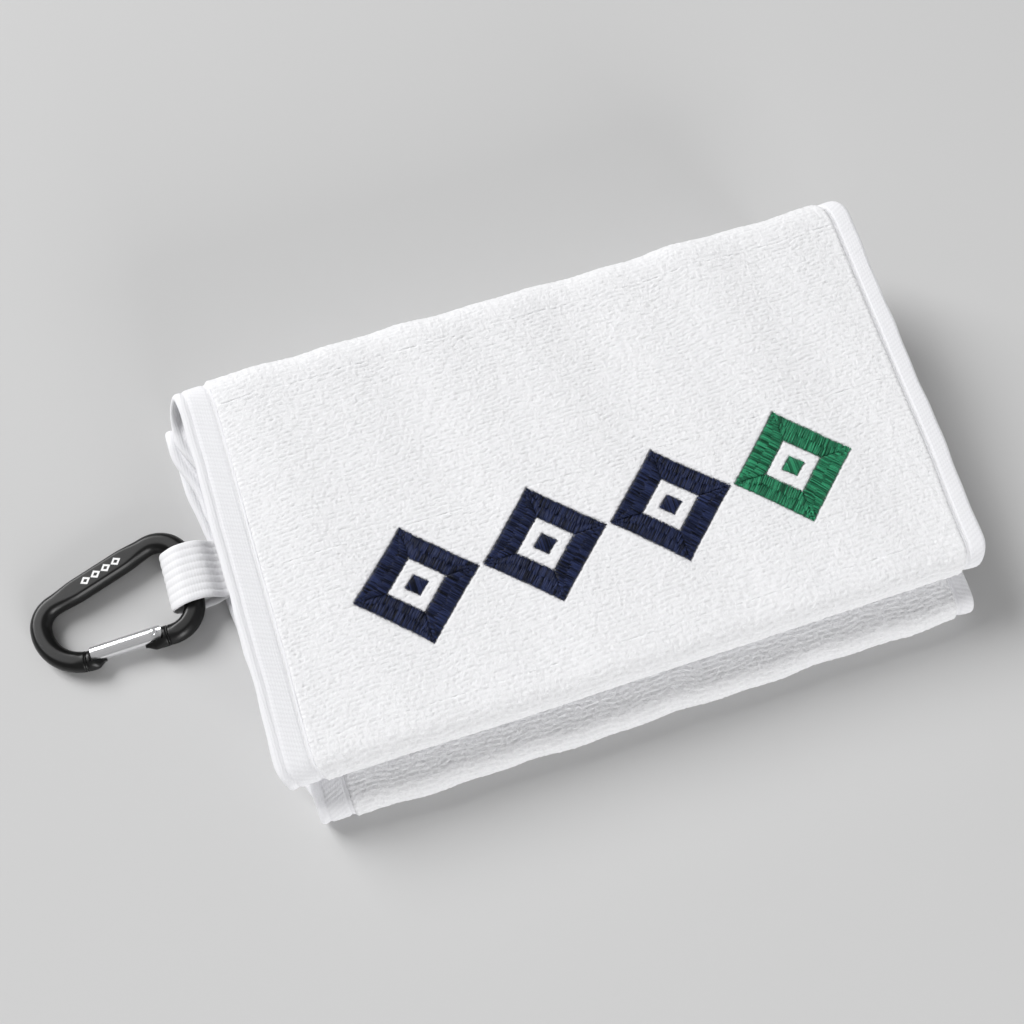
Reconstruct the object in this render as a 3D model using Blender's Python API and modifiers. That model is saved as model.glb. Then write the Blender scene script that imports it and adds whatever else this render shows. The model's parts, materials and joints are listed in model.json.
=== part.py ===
"""A folded golf towel with an embroidered row of diamonds, a webbing loop and a snap clip.

Frame: metres, +Z up.  X runs along the folded edges, from the loop side (-X) to the plain side (+X).
Y runs from the front rolls (-Y) to the far folds (+Y).  The origin is the middle of the towel's depth and
width at the level of the surface that it lies on.
"""

import math

import bmesh
import bpy
from mathutils import Matrix, Vector

# ---------------------------------------------------------------- driving dimensions (metres)

CLEARANCE = 0.0003            # air left between two pieces that touch

# cloth
CLOTH_WIDTH = 0.300           # hem edge to hem edge
CLOTH_LENGTH = 0.800          # end to end, before folding
CLOTH_THICKNESS = 0.0048      # ground weave with its loops on both faces
LAYER_GAP = 0.0010            # air between two layers that lie on each other
STACK_DEPTH = 0.187           # front of the lower roll to the back of the far folds
STACK_HEIGHT = 0.057          # surface to the crest of the upper far fold
LOWER_FOLD_HEIGHT = 0.0274    # lower far fold
LOWER_ROLL_HEIGHT = 0.0155    # lower front roll
UPPER_ROLL_HEIGHT = 0.0204    # upper front roll
ROLL_SETBACK = 0.0130         # upper roll's front behind the lower roll's front
PANEL_SHIFT = 0.0080          # the bottom panels lie this far towards -X of the top panel
ARC_STEPS = 14                # straight pieces in one fold

# hems
LEFT_HEM_WIDTH = 0.0140
RIGHT_HEM_WIDTH = 0.0090
END_HEM_WIDTH = 0.0120
HEM_THICKNESS = 0.0034
THREAD_THICKNESS = 0.00035
THREAD_WIDTH = 0.0007
SEAM_INSET = 0.0016           # seam line to the inner edge of its hem

# embroidery
MOTIF_COUNT = 4
MOTIF_PITCH = 0.0540
MOTIF_GAP = 0.0020
MOTIF_HEIGHT = 0.0490
MOTIF_STROKE = 0.0095
PIP_SHARE = 0.40              # pip size as a share of the opening that it sits in
MOTIF_CENTRE_X = 0.0030
MOTIF_CENTRE_Y = -0.0210
EMBROIDERY_THICKNESS = 0.0010
BACKING_THICKNESS = 0.0005
BACKING_MARGIN = 0.0060

# webbing loop
WEBBING_WIDTH = 0.0250
WEBBING_THICKNESS = 0.0015
WEBBING_EASE = 0.0009         # room between the webbing's arms and the bar, so that the bar can turn
LOOP_SLACK = 0.0030           # the bight stands this far off the clip's inner side
LOOP_ROOT_RADIUS = 0.0016
LOOP_Y = 0.0249               # middle of the webbing
LOOP_REACH = 0.0129           # hinge line at the hem to the middle of the clip's wide end
TACK_LENGTH = 0.0030
TACK_THICKNESS = 0.0008

# clip, in its own plane: x = 0 is the middle of its wide end, y = 0 the middle of the webbing
CLIP_REACH = 0.0659           # middle of the wide end to the middle of the narrow end
SPINE_SIDE = 0.0252           # spine line at x = 0
SPINE_ANGLE = math.radians(16.7)
GATE_SIDE = 0.0218            # frame's line on the gate side
BAR_WIDTH = 0.0090            # frame's section in the clip's plane
SPINE_WIDTH = 0.0106
BAR_HEIGHT = 0.0084
WIDE_CORNER_RADIUS = 0.0118
SPINE_CORNER_RADIUS = 0.0105
NARROW_CORNER_RADIUS = 0.0188
SECTION_SIDES = 20

# gate
GATE_RADIUS = 0.0036
GATE_BORE_RADIUS = 0.0022
GATE_OFFSET = 0.0023          # gate's line inside the frame's line
PIVOT_X = -0.0194
GATE_END_SETBACK = 0.0001     # gate's free end to the start of the narrow corner
GATE_END_WALL = 0.0030        # solid metal at the gate's free end
GATE_END_GAP = 0.0006         # room that the free end needs to swing past the nose
LIP_LENGTH = 0.0064
HINGE_LIP_LENGTH = 0.0089
TANG_THICKNESS = 0.0022
TANG_RADIUS = 0.0022
RIVET_RADIUS = 0.00095
RIVET_HEAD_RADIUS = 0.0017
RIVET_HEAD_HEIGHT = 0.0008
PLUNGER_LENGTH = 0.0042
SPRING_TURNS = 8
SPRING_WIRE_RADIUS = 0.00025

ROUND_STEPS = 32
GATE_STEPS = 40
HAIR = 0.00001                # how far a cutter passes a face that it must not share


# ---------------------------------------------------------------- scene and materials

def clear_scene():
    for item in list(bpy.data.objects):
        bpy.data.objects.remove(item, do_unlink=True)


def new_collection(name):
    collection = bpy.data.collections.get(name) or bpy.data.collections.new(name)
    if collection.name not in bpy.context.scene.collection.children:
        bpy.context.scene.collection.children.link(collection)
    return collection


def material(name, colour, roughness, metallic=0.0):
    found = bpy.data.materials.get(name)
    if found:
        return found
    made = bpy.data.materials.new(name)
    made.use_nodes = True
    shader = made.node_tree.nodes["Principled BSDF"]
    shader.inputs["Base Color"].default_value = (*colour, 1.0)
    shader.inputs["Roughness"].default_value = roughness
    shader.inputs["Metallic"].default_value = metallic
    return made


def terry():
    return material("terry_cotton", (0.88, 0.88, 0.88), 0.95)


def hem_cloth():
    return material("flat_woven_hem", (0.85, 0.85, 0.86), 0.9)


def white_thread():
    return material("white_sewing_thread", (0.86, 0.86, 0.86), 0.7)


def navy_thread():
    return material("navy_embroidery_thread", (0.012, 0.022, 0.075), 0.45)


def green_thread():
    return material("green_embroidery_thread", (0.005, 0.16, 0.06), 0.45)


def backing_felt():
    return material("backing_felt", (0.75, 0.75, 0.74), 0.95)


def webbing():
    return material("white_ribbed_webbing", (0.85, 0.85, 0.86), 0.8)


def black_aluminium():
    return material("black_anodised_aluminium", (0.012, 0.012, 0.013), 0.28, 0.9)


def bright_aluminium():
    return material("bright_aluminium", (0.78, 0.78, 0.79), 0.22, 1.0)


def spring_steel():
    return material("spring_steel", (0.45, 0.45, 0.46), 0.3, 1.0)


# ---------------------------------------------------------------- helpers

def add_object(name, mesh, surface, smooth=True):
    mesh.materials.append(surface)
    if smooth:
        mesh.shade_smooth()
        mesh.set_sharp_from_angle(angle=math.radians(35))
    made = bpy.data.objects.new(name, mesh)
    new_collection("golf_towel").objects.link(made)
    return made


def add_cutter(name, mesh):
    made = bpy.data.objects.new(name, mesh)
    made.hide_render = True
    made.display_type = "WIRE"
    new_collection("cutters").objects.link(made)
    return made


def cut(target, cutter, operation="DIFFERENCE"):
    step = target.modifiers.new(cutter.name, "BOOLEAN")
    step.operation = operation
    step.object = cutter
    step.solver = "EXACT"


def mesh_from(fill):
    """New mesh made by a function that fills a bmesh."""
    mesh = bpy.data.meshes.new("shape")
    work = bmesh.new()
    fill(work)
    bmesh.ops.recalc_face_normals(work, faces=work.faces)
    work.to_mesh(mesh)
    work.free()
    return mesh


def box_mesh(low, high):
    centre = [(a + b) / 2 for a, b in zip(low, high)]
    size = [b - a for a, b in zip(low, high)]

    def fill(work):
        place = Matrix.Translation(centre) @ Matrix.Diagonal((*size, 1.0))
        bmesh.ops.create_cube(work, size=1.0, matrix=place)

    return mesh_from(fill)


def cylinder_mesh(radius, start, end, steps=ROUND_STEPS):
    """Closed cylinder of one radius from start to end."""
    start = Vector(start)
    end = Vector(end)
    along = end - start

    def fill(work):
        turn = along.to_track_quat("Z", "Y").to_matrix().to_4x4()
        place = Matrix.Translation((start + end) / 2) @ turn
        bmesh.ops.create_cone(work, cap_ends=True, segments=steps, radius1=radius, radius2=radius,
                              depth=along.length, matrix=place)

    return mesh_from(fill)


def plate_mesh(outlines, thickness):
    """Flat plate in the XY plane, centred on z = 0; the outlines after the first are holes."""
    curve = bpy.data.curves.new("outline", "CURVE")
    curve.dimensions = "2D"
    curve.fill_mode = "BOTH"
    curve.extrude = thickness / 2
    for outline in outlines:
        spline = curve.splines.new("POLY")
        spline.points.add(len(outline) - 1)
        spline.use_cyclic_u = True
        for point, (x, y) in zip(spline.points, outline):
            point.co = (x, y, 0.0, 1.0)
    flat = bpy.data.objects.new("outline", curve)
    bpy.context.scene.collection.objects.link(flat)
    bpy.context.view_layer.update()
    made = bpy.data.meshes.new_from_object(flat.evaluated_get(bpy.context.evaluated_depsgraph_get()))
    bpy.data.objects.remove(flat)
    bpy.data.curves.remove(curve)
    work = bmesh.new()
    work.from_mesh(made)
    bmesh.ops.remove_doubles(work, verts=work.verts, dist=0.00001)
    bmesh.ops.recalc_face_normals(work, faces=work.faces)
    work.to_mesh(made)
    work.free()
    return made


def turned_object(name, profile, surface, parent, place):
    """Solid of revolution about z: profile points (radius, z) run from the top to the bottom."""
    mesh = bpy.data.meshes.new(name)
    mesh.from_pydata([(r, 0.0, z) for r, z in profile], [(i, i + 1) for i in range(len(profile) - 1)], [])
    made = add_object(name, mesh, surface, smooth=False)
    screw = made.modifiers.new("turn", "SCREW")
    screw.steps = 24
    screw.render_steps = 24
    screw.use_merge_vertices = True
    screw.merge_threshold = 0.00001
    made.parent = parent
    made.matrix_local = place
    return made


# ---------------------------------------------------------------- folded sheet

class Fold:
    """One round fold: its centre in the YZ plane and the signed radius of the sheet's middle line."""

    def __init__(self, y, z, radius, shift):
        self.centre = Vector((y, z))
        self.radius = radius
        self.shift = shift


def tangent_angle(first, second):
    """Direction of the straight run that leaves one fold and enters the next."""
    gap = second.centre - first.centre
    return math.atan2(gap.y, gap.x) - math.asin((second.radius - first.radius) / gap.length)


def left_normal(angle):
    return Vector((-math.sin(angle), math.cos(angle)))


def fold_layout():
    """The four folds, from the front upper roll to the far lower fold."""
    half = CLOTH_THICKNESS / 2
    front = -STACK_DEPTH / 2
    back = STACK_DEPTH / 2
    low_far = LOWER_FOLD_HEIGHT / 2 - half
    low_front = LOWER_ROLL_HEIGHT / 2 - half
    high_far = (STACK_HEIGHT - LOWER_FOLD_HEIGHT - LAYER_GAP) / 2 - half
    high_front = UPPER_ROLL_HEIGHT / 2 - half
    lower_fold = Fold(back - low_far - half, low_far + half, low_far, -PANEL_SHIFT)
    lower_roll = Fold(front + low_front + half, low_front + half, low_front, -PANEL_SHIFT)
    upper_fold = Fold(back - high_far - half, STACK_HEIGHT - high_far - half, -high_far, 0.0)
    run = tangent_angle(upper_fold, lower_roll)
    across = -left_normal(run)
    on_run = lower_roll.centre - left_normal(run) * lower_roll.radius
    roll_y = front + ROLL_SETBACK + high_front + half
    lift = (high_front + CLOTH_THICKNESS + LAYER_GAP) / across.y
    roll_z = on_run.y - (roll_y - on_run.x) * across.x / across.y + lift
    upper_roll = Fold(roll_y, roll_z, -high_front, 0.0)
    return [upper_roll, upper_fold, lower_roll, lower_fold], run


def folded_path():
    """Middle line of the whole cloth: a list of (point, left normal, sideways shift)."""
    folds, run = fold_layout()
    angles = [run]
    for first, second in zip(folds, folds[1:]):
        angles.append(tangent_angle(first, second))
    angles.append(run)
    line = []
    for index, fold in enumerate(folds):
        start = angles[index]
        turn = angles[index + 1] - start
        if fold.radius > 0:
            turn = turn % (2 * math.pi)
        else:
            turn = -((-turn) % (2 * math.pi))
        for step in range(ARC_STEPS + 1):
            normal = left_normal(start + turn * step / ARC_STEPS)
            line.append((fold.centre - normal * fold.radius, normal, fold.shift))
    used = sum((b[0] - a[0]).length for a, b in zip(line, line[1:]))
    tuck = (CLOTH_LENGTH - used) / 2
    back = Vector((math.cos(run), math.sin(run)))
    first_end = (line[0][0] - back * tuck, line[0][1], line[0][2])
    last_end = (line[-1][0] + back * tuck, line[-1][1], line[-1][2])
    return [first_end] + line + [last_end]


def trimmed(line, length, keep=None):
    """The path without its first and last stretch, or only the stretch that keep names."""
    def along(a, b, distance):
        share = distance / (b[0] - a[0]).length
        return (a[0].lerp(b[0], share), a[1], a[2] + (b[2] - a[2]) * share)

    start = along(line[0], line[1], length)
    end = along(line[-1], line[-2], length)
    if keep == "first":
        return [line[0], start]
    if keep == "last":
        return [end, line[-1]]
    return [start] + line[1:-1] + [end]


def sheet_object(name, line, low, high, thickness, surface, offset=0.0):
    """Sheet that follows the folded line from x = low to x = high, offset along the line's left normal."""
    verts = []
    for point, normal, shift in line:
        place = point + normal * offset
        verts.append((low + shift, place.x, place.y))
        verts.append((high + shift, place.x, place.y))
    faces = []
    for i in range(len(line) - 1):
        faces.append((2 * i, 2 * i + 1, 2 * i + 3, 2 * i + 2))
    mesh = bpy.data.meshes.new(name)
    mesh.from_pydata(verts, [], faces)
    made = add_object(name, mesh, surface)
    wall = made.modifiers.new("wall", "SOLIDIFY")
    wall.thickness = thickness
    wall.offset = 0.0
    wall.use_even_offset = True
    return made


def build_cloth(line):
    """Terry sheet between its hems, the hem bands and the threads that sew them."""
    left = -CLOTH_WIDTH / 2
    right = CLOTH_WIDTH / 2
    inner_left = left + LEFT_HEM_WIDTH
    inner_right = right - RIGHT_HEM_WIDTH
    body = trimmed(line, END_HEM_WIDTH + CLEARANCE)
    sheet_object("towel_cloth", body, inner_left + CLEARANCE, inner_right - CLEARANCE, CLOTH_THICKNESS, terry())
    sheet_object("left_hem_band", line, left, inner_left, HEM_THICKNESS, hem_cloth())
    sheet_object("right_hem_band", line, inner_right, right, HEM_THICKNESS, hem_cloth())
    thread_lift = HEM_THICKNESS / 2 + CLEARANCE + THREAD_THICKNESS / 2
    seam_left = inner_left - SEAM_INSET
    seam_right = inner_right + SEAM_INSET
    sheet_object("left_hem_stitching", line, seam_left - THREAD_WIDTH, seam_left, THREAD_THICKNESS,
                 white_thread(), thread_lift)
    sheet_object("right_hem_stitching", line, seam_right, seam_right + THREAD_WIDTH, THREAD_THICKNESS,
                 white_thread(), thread_lift)
    for name, keep in (("upper", "first"), ("lower", "last")):
        hem = trimmed(line, END_HEM_WIDTH, keep)
        sheet_object(name + "_end_hem", hem, inner_left + CLEARANCE, inner_right - CLEARANCE, HEM_THICKNESS,
                     hem_cloth())
        inner, outer = (hem[1], hem[0]) if keep == "first" else (hem[0], hem[1])
        near = inner[0].lerp(outer[0], SEAM_INSET / END_HEM_WIDTH)
        far = inner[0].lerp(outer[0], (SEAM_INSET + THREAD_WIDTH) / END_HEM_WIDTH)
        seam = [(near, inner[1], inner[2]), (far, inner[1], inner[2])]
        if keep == "first":
            seam.reverse()
        sheet_object(name + "_end_stitching", seam, inner_left + CLEARANCE, inner_right - CLEARANCE,
                     THREAD_THICKNESS, white_thread(), thread_lift)


# ---------------------------------------------------------------- embroidery

def panel_place(x, y, lift):
    """Placement on the top panel: at x and y, lifted off the cloth's middle face, with local y up the slope."""
    folds, _ = fold_layout()
    slope = tangent_angle(folds[0], folds[1])
    start = folds[0].centre - left_normal(slope) * folds[0].radius
    z = start.y + (y - start.x) * math.tan(slope)
    turn = Matrix.Rotation(slope, 4, "X")
    return Matrix.Translation((x, y, z)) @ turn @ Matrix.Translation((0.0, 0.0, lift))


def diamond(half_width, half_height):
    return [(half_width, 0.0), (0.0, half_height), (-half_width, 0.0), (0.0, -half_height)]


def build_embroidery():
    """A row of satin-stitched diamonds, each with a small filled diamond in its opening."""
    half_width = (MOTIF_PITCH - MOTIF_GAP) / 2
    half_height = MOTIF_HEIGHT / 2
    reach = half_width * half_height / math.hypot(half_width, half_height)
    opening = (reach - MOTIF_STROKE) / reach
    ring = [diamond(half_width, half_height), diamond(half_width * opening, half_height * opening)]
    pip = [diamond(half_width * opening * PIP_SHARE, half_height * opening * PIP_SHARE)]
    lift = CLOTH_THICKNESS / 2 + CLEARANCE + EMBROIDERY_THICKNESS / 2
    for number in range(MOTIF_COUNT):
        x = MOTIF_CENTRE_X + (number - (MOTIF_COUNT - 1) / 2) * MOTIF_PITCH
        thread = green_thread() if number == MOTIF_COUNT - 1 else navy_thread()
        for name, outlines in (("embroidered_diamond_", ring), ("embroidered_pip_", pip)):
            mesh = plate_mesh(outlines, EMBROIDERY_THICKNESS)
            made = add_object(name + str(number + 1), mesh, thread, smooth=False)
            made.matrix_world = panel_place(x, MOTIF_CENTRE_Y, lift)
    half_x = MOTIF_COUNT * MOTIF_PITCH / 2 + BACKING_MARGIN
    half_y = half_height + BACKING_MARGIN
    mesh = box_mesh((-half_x, -half_y, -BACKING_THICKNESS / 2), (half_x, half_y, BACKING_THICKNESS / 2))
    backing = add_object("embroidery_backing", mesh, backing_felt(), smooth=False)
    drop = CLOTH_THICKNESS / 2 + CLEARANCE + BACKING_THICKNESS / 2
    backing.matrix_world = panel_place(MOTIF_CENTRE_X, MOTIF_CENTRE_Y, -drop)


# ---------------------------------------------------------------- webbing loop

def hull_of_rounds(rounds, steps=ROUND_STEPS):
    """Convex outline around circles given as (x, y, radius), counter-clockwise."""
    points = []
    for x, y, radius in rounds:
        for i in range(steps):
            angle = 2 * math.pi * i / steps
            points.append((round(x + radius * math.cos(angle), 9), round(y + radius * math.sin(angle), 9)))
    points = sorted(set(points))

    def half_hull(ordered):
        chain = []
        for p in ordered:
            while len(chain) > 1:
                (ax, ay), (bx, by) = chain[-2], chain[-1]
                if (bx - ax) * (p[1] - ay) - (by - ay) * (p[0] - ax) > 1e-12:
                    break
                chain.pop()
            chain.append(p)
        return chain[:-1]

    return half_hull(points) + half_hull(points[::-1])


def rim_x():
    """Outer edge of the bottom panel's left hem."""
    return -CLOTH_WIDTH / 2 - PANEL_SHIFT


def hinge_x():
    return rim_x() - CLEARANCE - LOOP_ROOT_RADIUS


def hinge_z():
    return CLOTH_THICKNESS / 2 + LOOP_ROOT_RADIUS


def clip_x():
    return hinge_x() - LOOP_REACH


def loop_inner_radius():
    return BAR_HEIGHT / 2 + WEBBING_EASE


def clip_z():
    """Height of the clip's middle at its wide end, which lies on the webbing's lower arm."""
    return CLEARANCE + WEBBING_THICKNESS + loop_inner_radius()


def build_loop():
    """Webbing loop around the clip's wide end, and the bar tack on the hem."""
    inner = loop_inner_radius()
    outer = inner + WEBBING_THICKNESS
    root = (hinge_x(), hinge_z(), LOOP_ROOT_RADIUS)
    bight_x = clip_x() - BAR_WIDTH / 2 - LOOP_SLACK + inner
    seat_x = clip_x() + (BAR_WIDTH - BAR_HEIGHT) / 2
    throat = (hinge_x() - 2 * LOOP_ROOT_RADIUS, hinge_z() + LOOP_ROOT_RADIUS / 4, CLEARANCE)
    outside = hull_of_rounds([(bight_x, clip_z(), outer), (seat_x, clip_z(), outer), root])
    inside = hull_of_rounds([(bight_x, clip_z(), inner), (seat_x, clip_z(), inner), throat])
    made = add_object("hanging_loop", plate_mesh([outside, inside], WEBBING_WIDTH), webbing())
    made.matrix_world = Matrix.Translation((0.0, LOOP_Y, 0.0)) @ Matrix.Rotation(math.pi / 2, 4, "X")
    tack_x = rim_x() + LEFT_HEM_WIDTH / 2
    low_z = CLOTH_THICKNESS / 2 + HEM_THICKNESS / 2 + CLEARANCE
    low = (tack_x - TACK_LENGTH / 2, LOOP_Y - WEBBING_WIDTH / 2, low_z)
    high = (tack_x + TACK_LENGTH / 2, LOOP_Y + WEBBING_WIDTH / 2, low_z + TACK_THICKNESS)
    add_object("loop_bar_tack", box_mesh(low, high), white_thread(), smooth=False)


# ---------------------------------------------------------------- clip

def clip_frame_empty():
    """Empty on the clip's swing axis; the narrow end is tipped down until it meets the surface."""
    drop = clip_z() - BAR_HEIGHT / 2
    tilt = math.asin(drop / CLIP_REACH)
    made = bpy.data.objects.new("clip_axis", None)
    new_collection("golf_towel").objects.link(made)
    place = Matrix.Translation((clip_x(), LOOP_Y, clip_z()))
    made.matrix_world = place @ Matrix.Rotation(-tilt, 4, "Y")
    return made


def frame_corners():
    """Corners of the frame's middle line with their radii, from the gate side round by the spine."""
    slope = math.tan(SPINE_ANGLE)
    return [
        (Vector((0.0, -GATE_SIDE)), WIDE_CORNER_RADIUS),
        (Vector((0.0, SPINE_SIDE)), WIDE_CORNER_RADIUS),
        (Vector((-CLIP_REACH, SPINE_SIDE - slope * CLIP_REACH)), SPINE_CORNER_RADIUS),
        (Vector((-CLIP_REACH, -GATE_SIDE)), NARROW_CORNER_RADIUS),
    ]


def frame_line(arc_steps=9, straight_steps=5):
    """Middle line of the frame, open at the gate, as points with a share that is 1 on the spine."""
    corners = frame_corners()
    hinge_end = Vector((PIVOT_X + GATE_RADIUS + CLEARANCE - HINGE_LIP_LENGTH, -GATE_SIDE))
    nose_end = Vector((PIVOT_X - gate_length() - GATE_END_GAP + LIP_LENGTH, -GATE_SIDE))
    stops = [hinge_end] + [c for c, _ in corners] + [nose_end]
    line = [hinge_end]
    for i, (corner, radius) in enumerate(corners, start=1):
        back = (stops[i - 1] - corner).normalized()
        ahead = (stops[i + 1] - corner).normalized()
        half = math.acos(max(-1.0, min(1.0, back.dot(ahead)))) / 2
        reach = radius / math.tan(half)
        centre = corner + (back + ahead).normalized() * radius / math.sin(half)
        start = corner + back * reach - centre
        end = corner + ahead * reach - centre
        sweep = start.angle_signed(end)
        before = line[-1]
        entry = centre + start
        for step in range(1, straight_steps):
            line.append(before.lerp(entry, step / straight_steps))
        for step in range(arc_steps + 1):
            angle = -sweep * step / arc_steps
            turn = Matrix.Rotation(angle, 2)
            line.append(centre + turn @ start)
    before = line[-1]
    for step in range(1, straight_steps + 1):
        line.append(before.lerp(nose_end, step / straight_steps))
    return line


def bar_width_at(point):
    """Width of the frame's section: wider along the spine, easing in and out over its length."""
    from_gate = point.y + GATE_SIDE
    spine_y = SPINE_SIDE + math.tan(SPINE_ANGLE) * point.x
    near = abs(point.y - spine_y) < BAR_WIDTH / 3
    share = -point.x / CLIP_REACH
    if not near or from_gate < BAR_WIDTH or not 0.0 < share < 1.0:
        return BAR_WIDTH
    return BAR_WIDTH + (SPINE_WIDTH - BAR_WIDTH) * math.sin(math.pi * share)


def frame_bar_mesh():
    """Loft of oval sections along the frame's middle line."""
    line = frame_line()

    def fill(work):
        rings = []
        for i, point in enumerate(line):
            before = line[max(i - 1, 0)]
            after = line[min(i + 1, len(line) - 1)]
            along = (after - before).normalized()
            side = Vector((-along.y, along.x))
            half_width = bar_width_at(point) / 2
            ring = []
            for k in range(SECTION_SIDES):
                angle = 2 * math.pi * k / SECTION_SIDES
                place = point + side * half_width * math.cos(angle)
                ring.append(work.verts.new((place.x, place.y, BAR_HEIGHT / 2 * math.sin(angle))))
            rings.append(ring)
        for low, high in zip(rings, rings[1:]):
            for k in range(SECTION_SIDES):
                n = (k + 1) % SECTION_SIDES
                work.faces.new((low[k], low[n], high[n], high[k]))
        work.faces.new(rings[0][::-1])
        work.faces.new(rings[-1])

    return mesh_from(fill)


def gate_y():
    return -GATE_SIDE + GATE_OFFSET


def gate_length():
    """Pivot to the gate's free end, which meets the nose where the narrow corner starts."""
    return CLIP_REACH + PIVOT_X - NARROW_CORNER_RADIUS - GATE_END_SETBACK


def build_frame(parent):
    """Clip frame: one bent bar with a lip under each end of the gate and a tang for the pivot."""
    made = add_object("clip_frame", frame_bar_mesh(), black_aluminium())
    made.parent = parent
    nose_face = PIVOT_X - gate_length() - GATE_END_GAP
    hinge_face = PIVOT_X + GATE_RADIUS + CLEARANCE
    lip_top = gate_y() - GATE_RADIUS - CLEARANCE
    room = BAR_WIDTH
    gap = add_cutter("gate_gap", box_mesh((nose_face, lip_top, -room), (hinge_face, lip_top + 2 * room, room)))
    gap.parent = parent
    cut(made, gap)
    tang_outline = hull_of_rounds([
        (PIVOT_X, gate_y(), TANG_RADIUS),
        (hinge_face + TANG_RADIUS, gate_y(), TANG_RADIUS),
    ])
    tang = add_cutter("tang_blank", plate_mesh([tang_outline], TANG_THICKNESS))
    tang.parent = parent
    cut(made, tang, "UNION")
    hole = add_cutter("tang_hole", cylinder_mesh(
        RIVET_RADIUS + CLEARANCE, (PIVOT_X, gate_y(), -BAR_HEIGHT), (PIVOT_X, gate_y(), BAR_HEIGHT)))
    hole.parent = parent
    cut(made, hole)
    return made


def build_gate(parent):
    """Straight tubular gate with a forked end, on its own empty at the pivot."""
    axis = bpy.data.objects.new("gate_axis", None)
    new_collection("golf_towel").objects.link(axis)
    axis.parent = parent
    axis.location = (PIVOT_X, gate_y(), 0.0)
    slot_depth = TANG_RADIUS + 2 * CLEARANCE
    bore_end = gate_length() - GATE_END_WALL
    blank = cylinder_mesh(GATE_RADIUS, (-gate_length(), 0.0, 0.0), (GATE_RADIUS, 0.0, 0.0), GATE_STEPS)
    made = add_object("clip_gate", blank, bright_aluminium())
    made.parent = axis
    tall = 4 * GATE_RADIUS
    outline = hull_of_rounds([
        (0.0, 0.0, GATE_RADIUS + HAIR),
        (-gate_length() - GATE_RADIUS, 0.0, GATE_RADIUS + HAIR),
    ], 2 * ROUND_STEPS)
    parts = [
        ("gate_end_round", plate_mesh([outline], tall), "INTERSECT"),
        ("gate_bore", cylinder_mesh(GATE_BORE_RADIUS, (-bore_end, 0.0, 0.0), (2 * GATE_RADIUS, 0.0, 0.0)),
         "DIFFERENCE"),
        ("gate_slot", box_mesh((-slot_depth, -tall, -TANG_THICKNESS / 2 - CLEARANCE),
                               (2 * GATE_RADIUS, tall, TANG_THICKNESS / 2 + CLEARANCE)), "DIFFERENCE"),
        ("gate_rivet_hole", cylinder_mesh(RIVET_RADIUS + CLEARANCE, (0.0, 0.0, -tall), (0.0, 0.0, tall)),
         "DIFFERENCE"),
    ]
    for name, mesh, operation in parts:
        cutter = add_cutter(name, mesh)
        cutter.parent = axis
        cut(made, cutter, operation)
    build_plunger(axis, slot_depth)
    build_spring(axis, slot_depth, bore_end)
    return axis


def build_rivet(parent):
    """Pivot rivet with a low dome on each end, fixed in the frame's tang."""
    seat = GATE_RADIUS + CLEARANCE
    top = seat + RIVET_HEAD_HEIGHT
    dome = []
    for step in range(5):
        angle = math.pi / 2 * step / 4
        dome.append((RIVET_HEAD_RADIUS * math.sin(angle), seat + (top - seat) * math.cos(angle)))
    upper = dome + [(RIVET_RADIUS, seat)]
    profile = upper + [(r, -z) for r, z in reversed(upper)]
    turned_object("gate_rivet", profile, bright_aluminium(), parent,
                  Matrix.Translation((PIVOT_X, gate_y(), 0.0)))


def build_plunger(axis, slot_depth):
    """Round-nosed pin that the spring pushes against the tang."""
    radius = GATE_BORE_RADIUS - CLEARANCE
    nose = []
    for step in range(5):
        angle = math.pi / 2 * step / 4
        nose.append((radius * math.sin(angle), -radius / 2 * (1 - math.cos(angle))))
    profile = nose + [(radius, -PLUNGER_LENGTH), (0.0, -PLUNGER_LENGTH)]
    turn = Matrix.Rotation(math.pi / 2, 4, "Y")
    place = Matrix.Translation((-slot_depth + CLEARANCE, 0.0, 0.0)) @ turn
    turned_object("gate_plunger", profile, spring_steel(), axis, place)


def build_spring(axis, slot_depth, bore_end):
    """Coil spring between the plunger and the closed end of the bore."""
    start = -slot_depth - PLUNGER_LENGTH - SPRING_WIRE_RADIUS
    end = -bore_end + CLEARANCE + SPRING_WIRE_RADIUS
    mean = GATE_BORE_RADIUS - CLEARANCE - SPRING_WIRE_RADIUS
    per_turn = 10
    count = SPRING_TURNS * per_turn
    curve = bpy.data.curves.new("gate_spring", "CURVE")
    curve.dimensions = "3D"
    curve.bevel_depth = SPRING_WIRE_RADIUS
    curve.bevel_resolution = 1
    curve.use_fill_caps = True
    spline = curve.splines.new("POLY")
    spline.points.add(count)
    for i, point in enumerate(spline.points):
        angle = 2 * math.pi * i / per_turn
        x = start + (end - start) * i / count
        point.co = (x, mean * math.cos(angle), mean * math.sin(angle), 1.0)
    curve.materials.append(spring_steel())
    made = bpy.data.objects.new("gate_spring", curve)
    new_collection("golf_towel").objects.link(made)
    made.parent = axis


def main():
    clear_scene()
    line = folded_path()
    build_cloth(line)
    build_embroidery()
    build_loop()
    clip_axis = clip_frame_empty()
    build_frame(clip_axis)
    build_gate(clip_axis)
    build_rivet(clip_axis)


main()
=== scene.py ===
"""A folded white golf towel: terry, ribbed hems, satin-stitched diamonds, webbing loop and snap clip.

Laid out as a Blender add-on.  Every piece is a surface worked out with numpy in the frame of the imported
part: metres, +Z up, X along the folds, the towel's middle at the origin.
"""

import json
import math

import bmesh
import bpy
import numpy as np
from mathutils import Matrix, Vector

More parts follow.
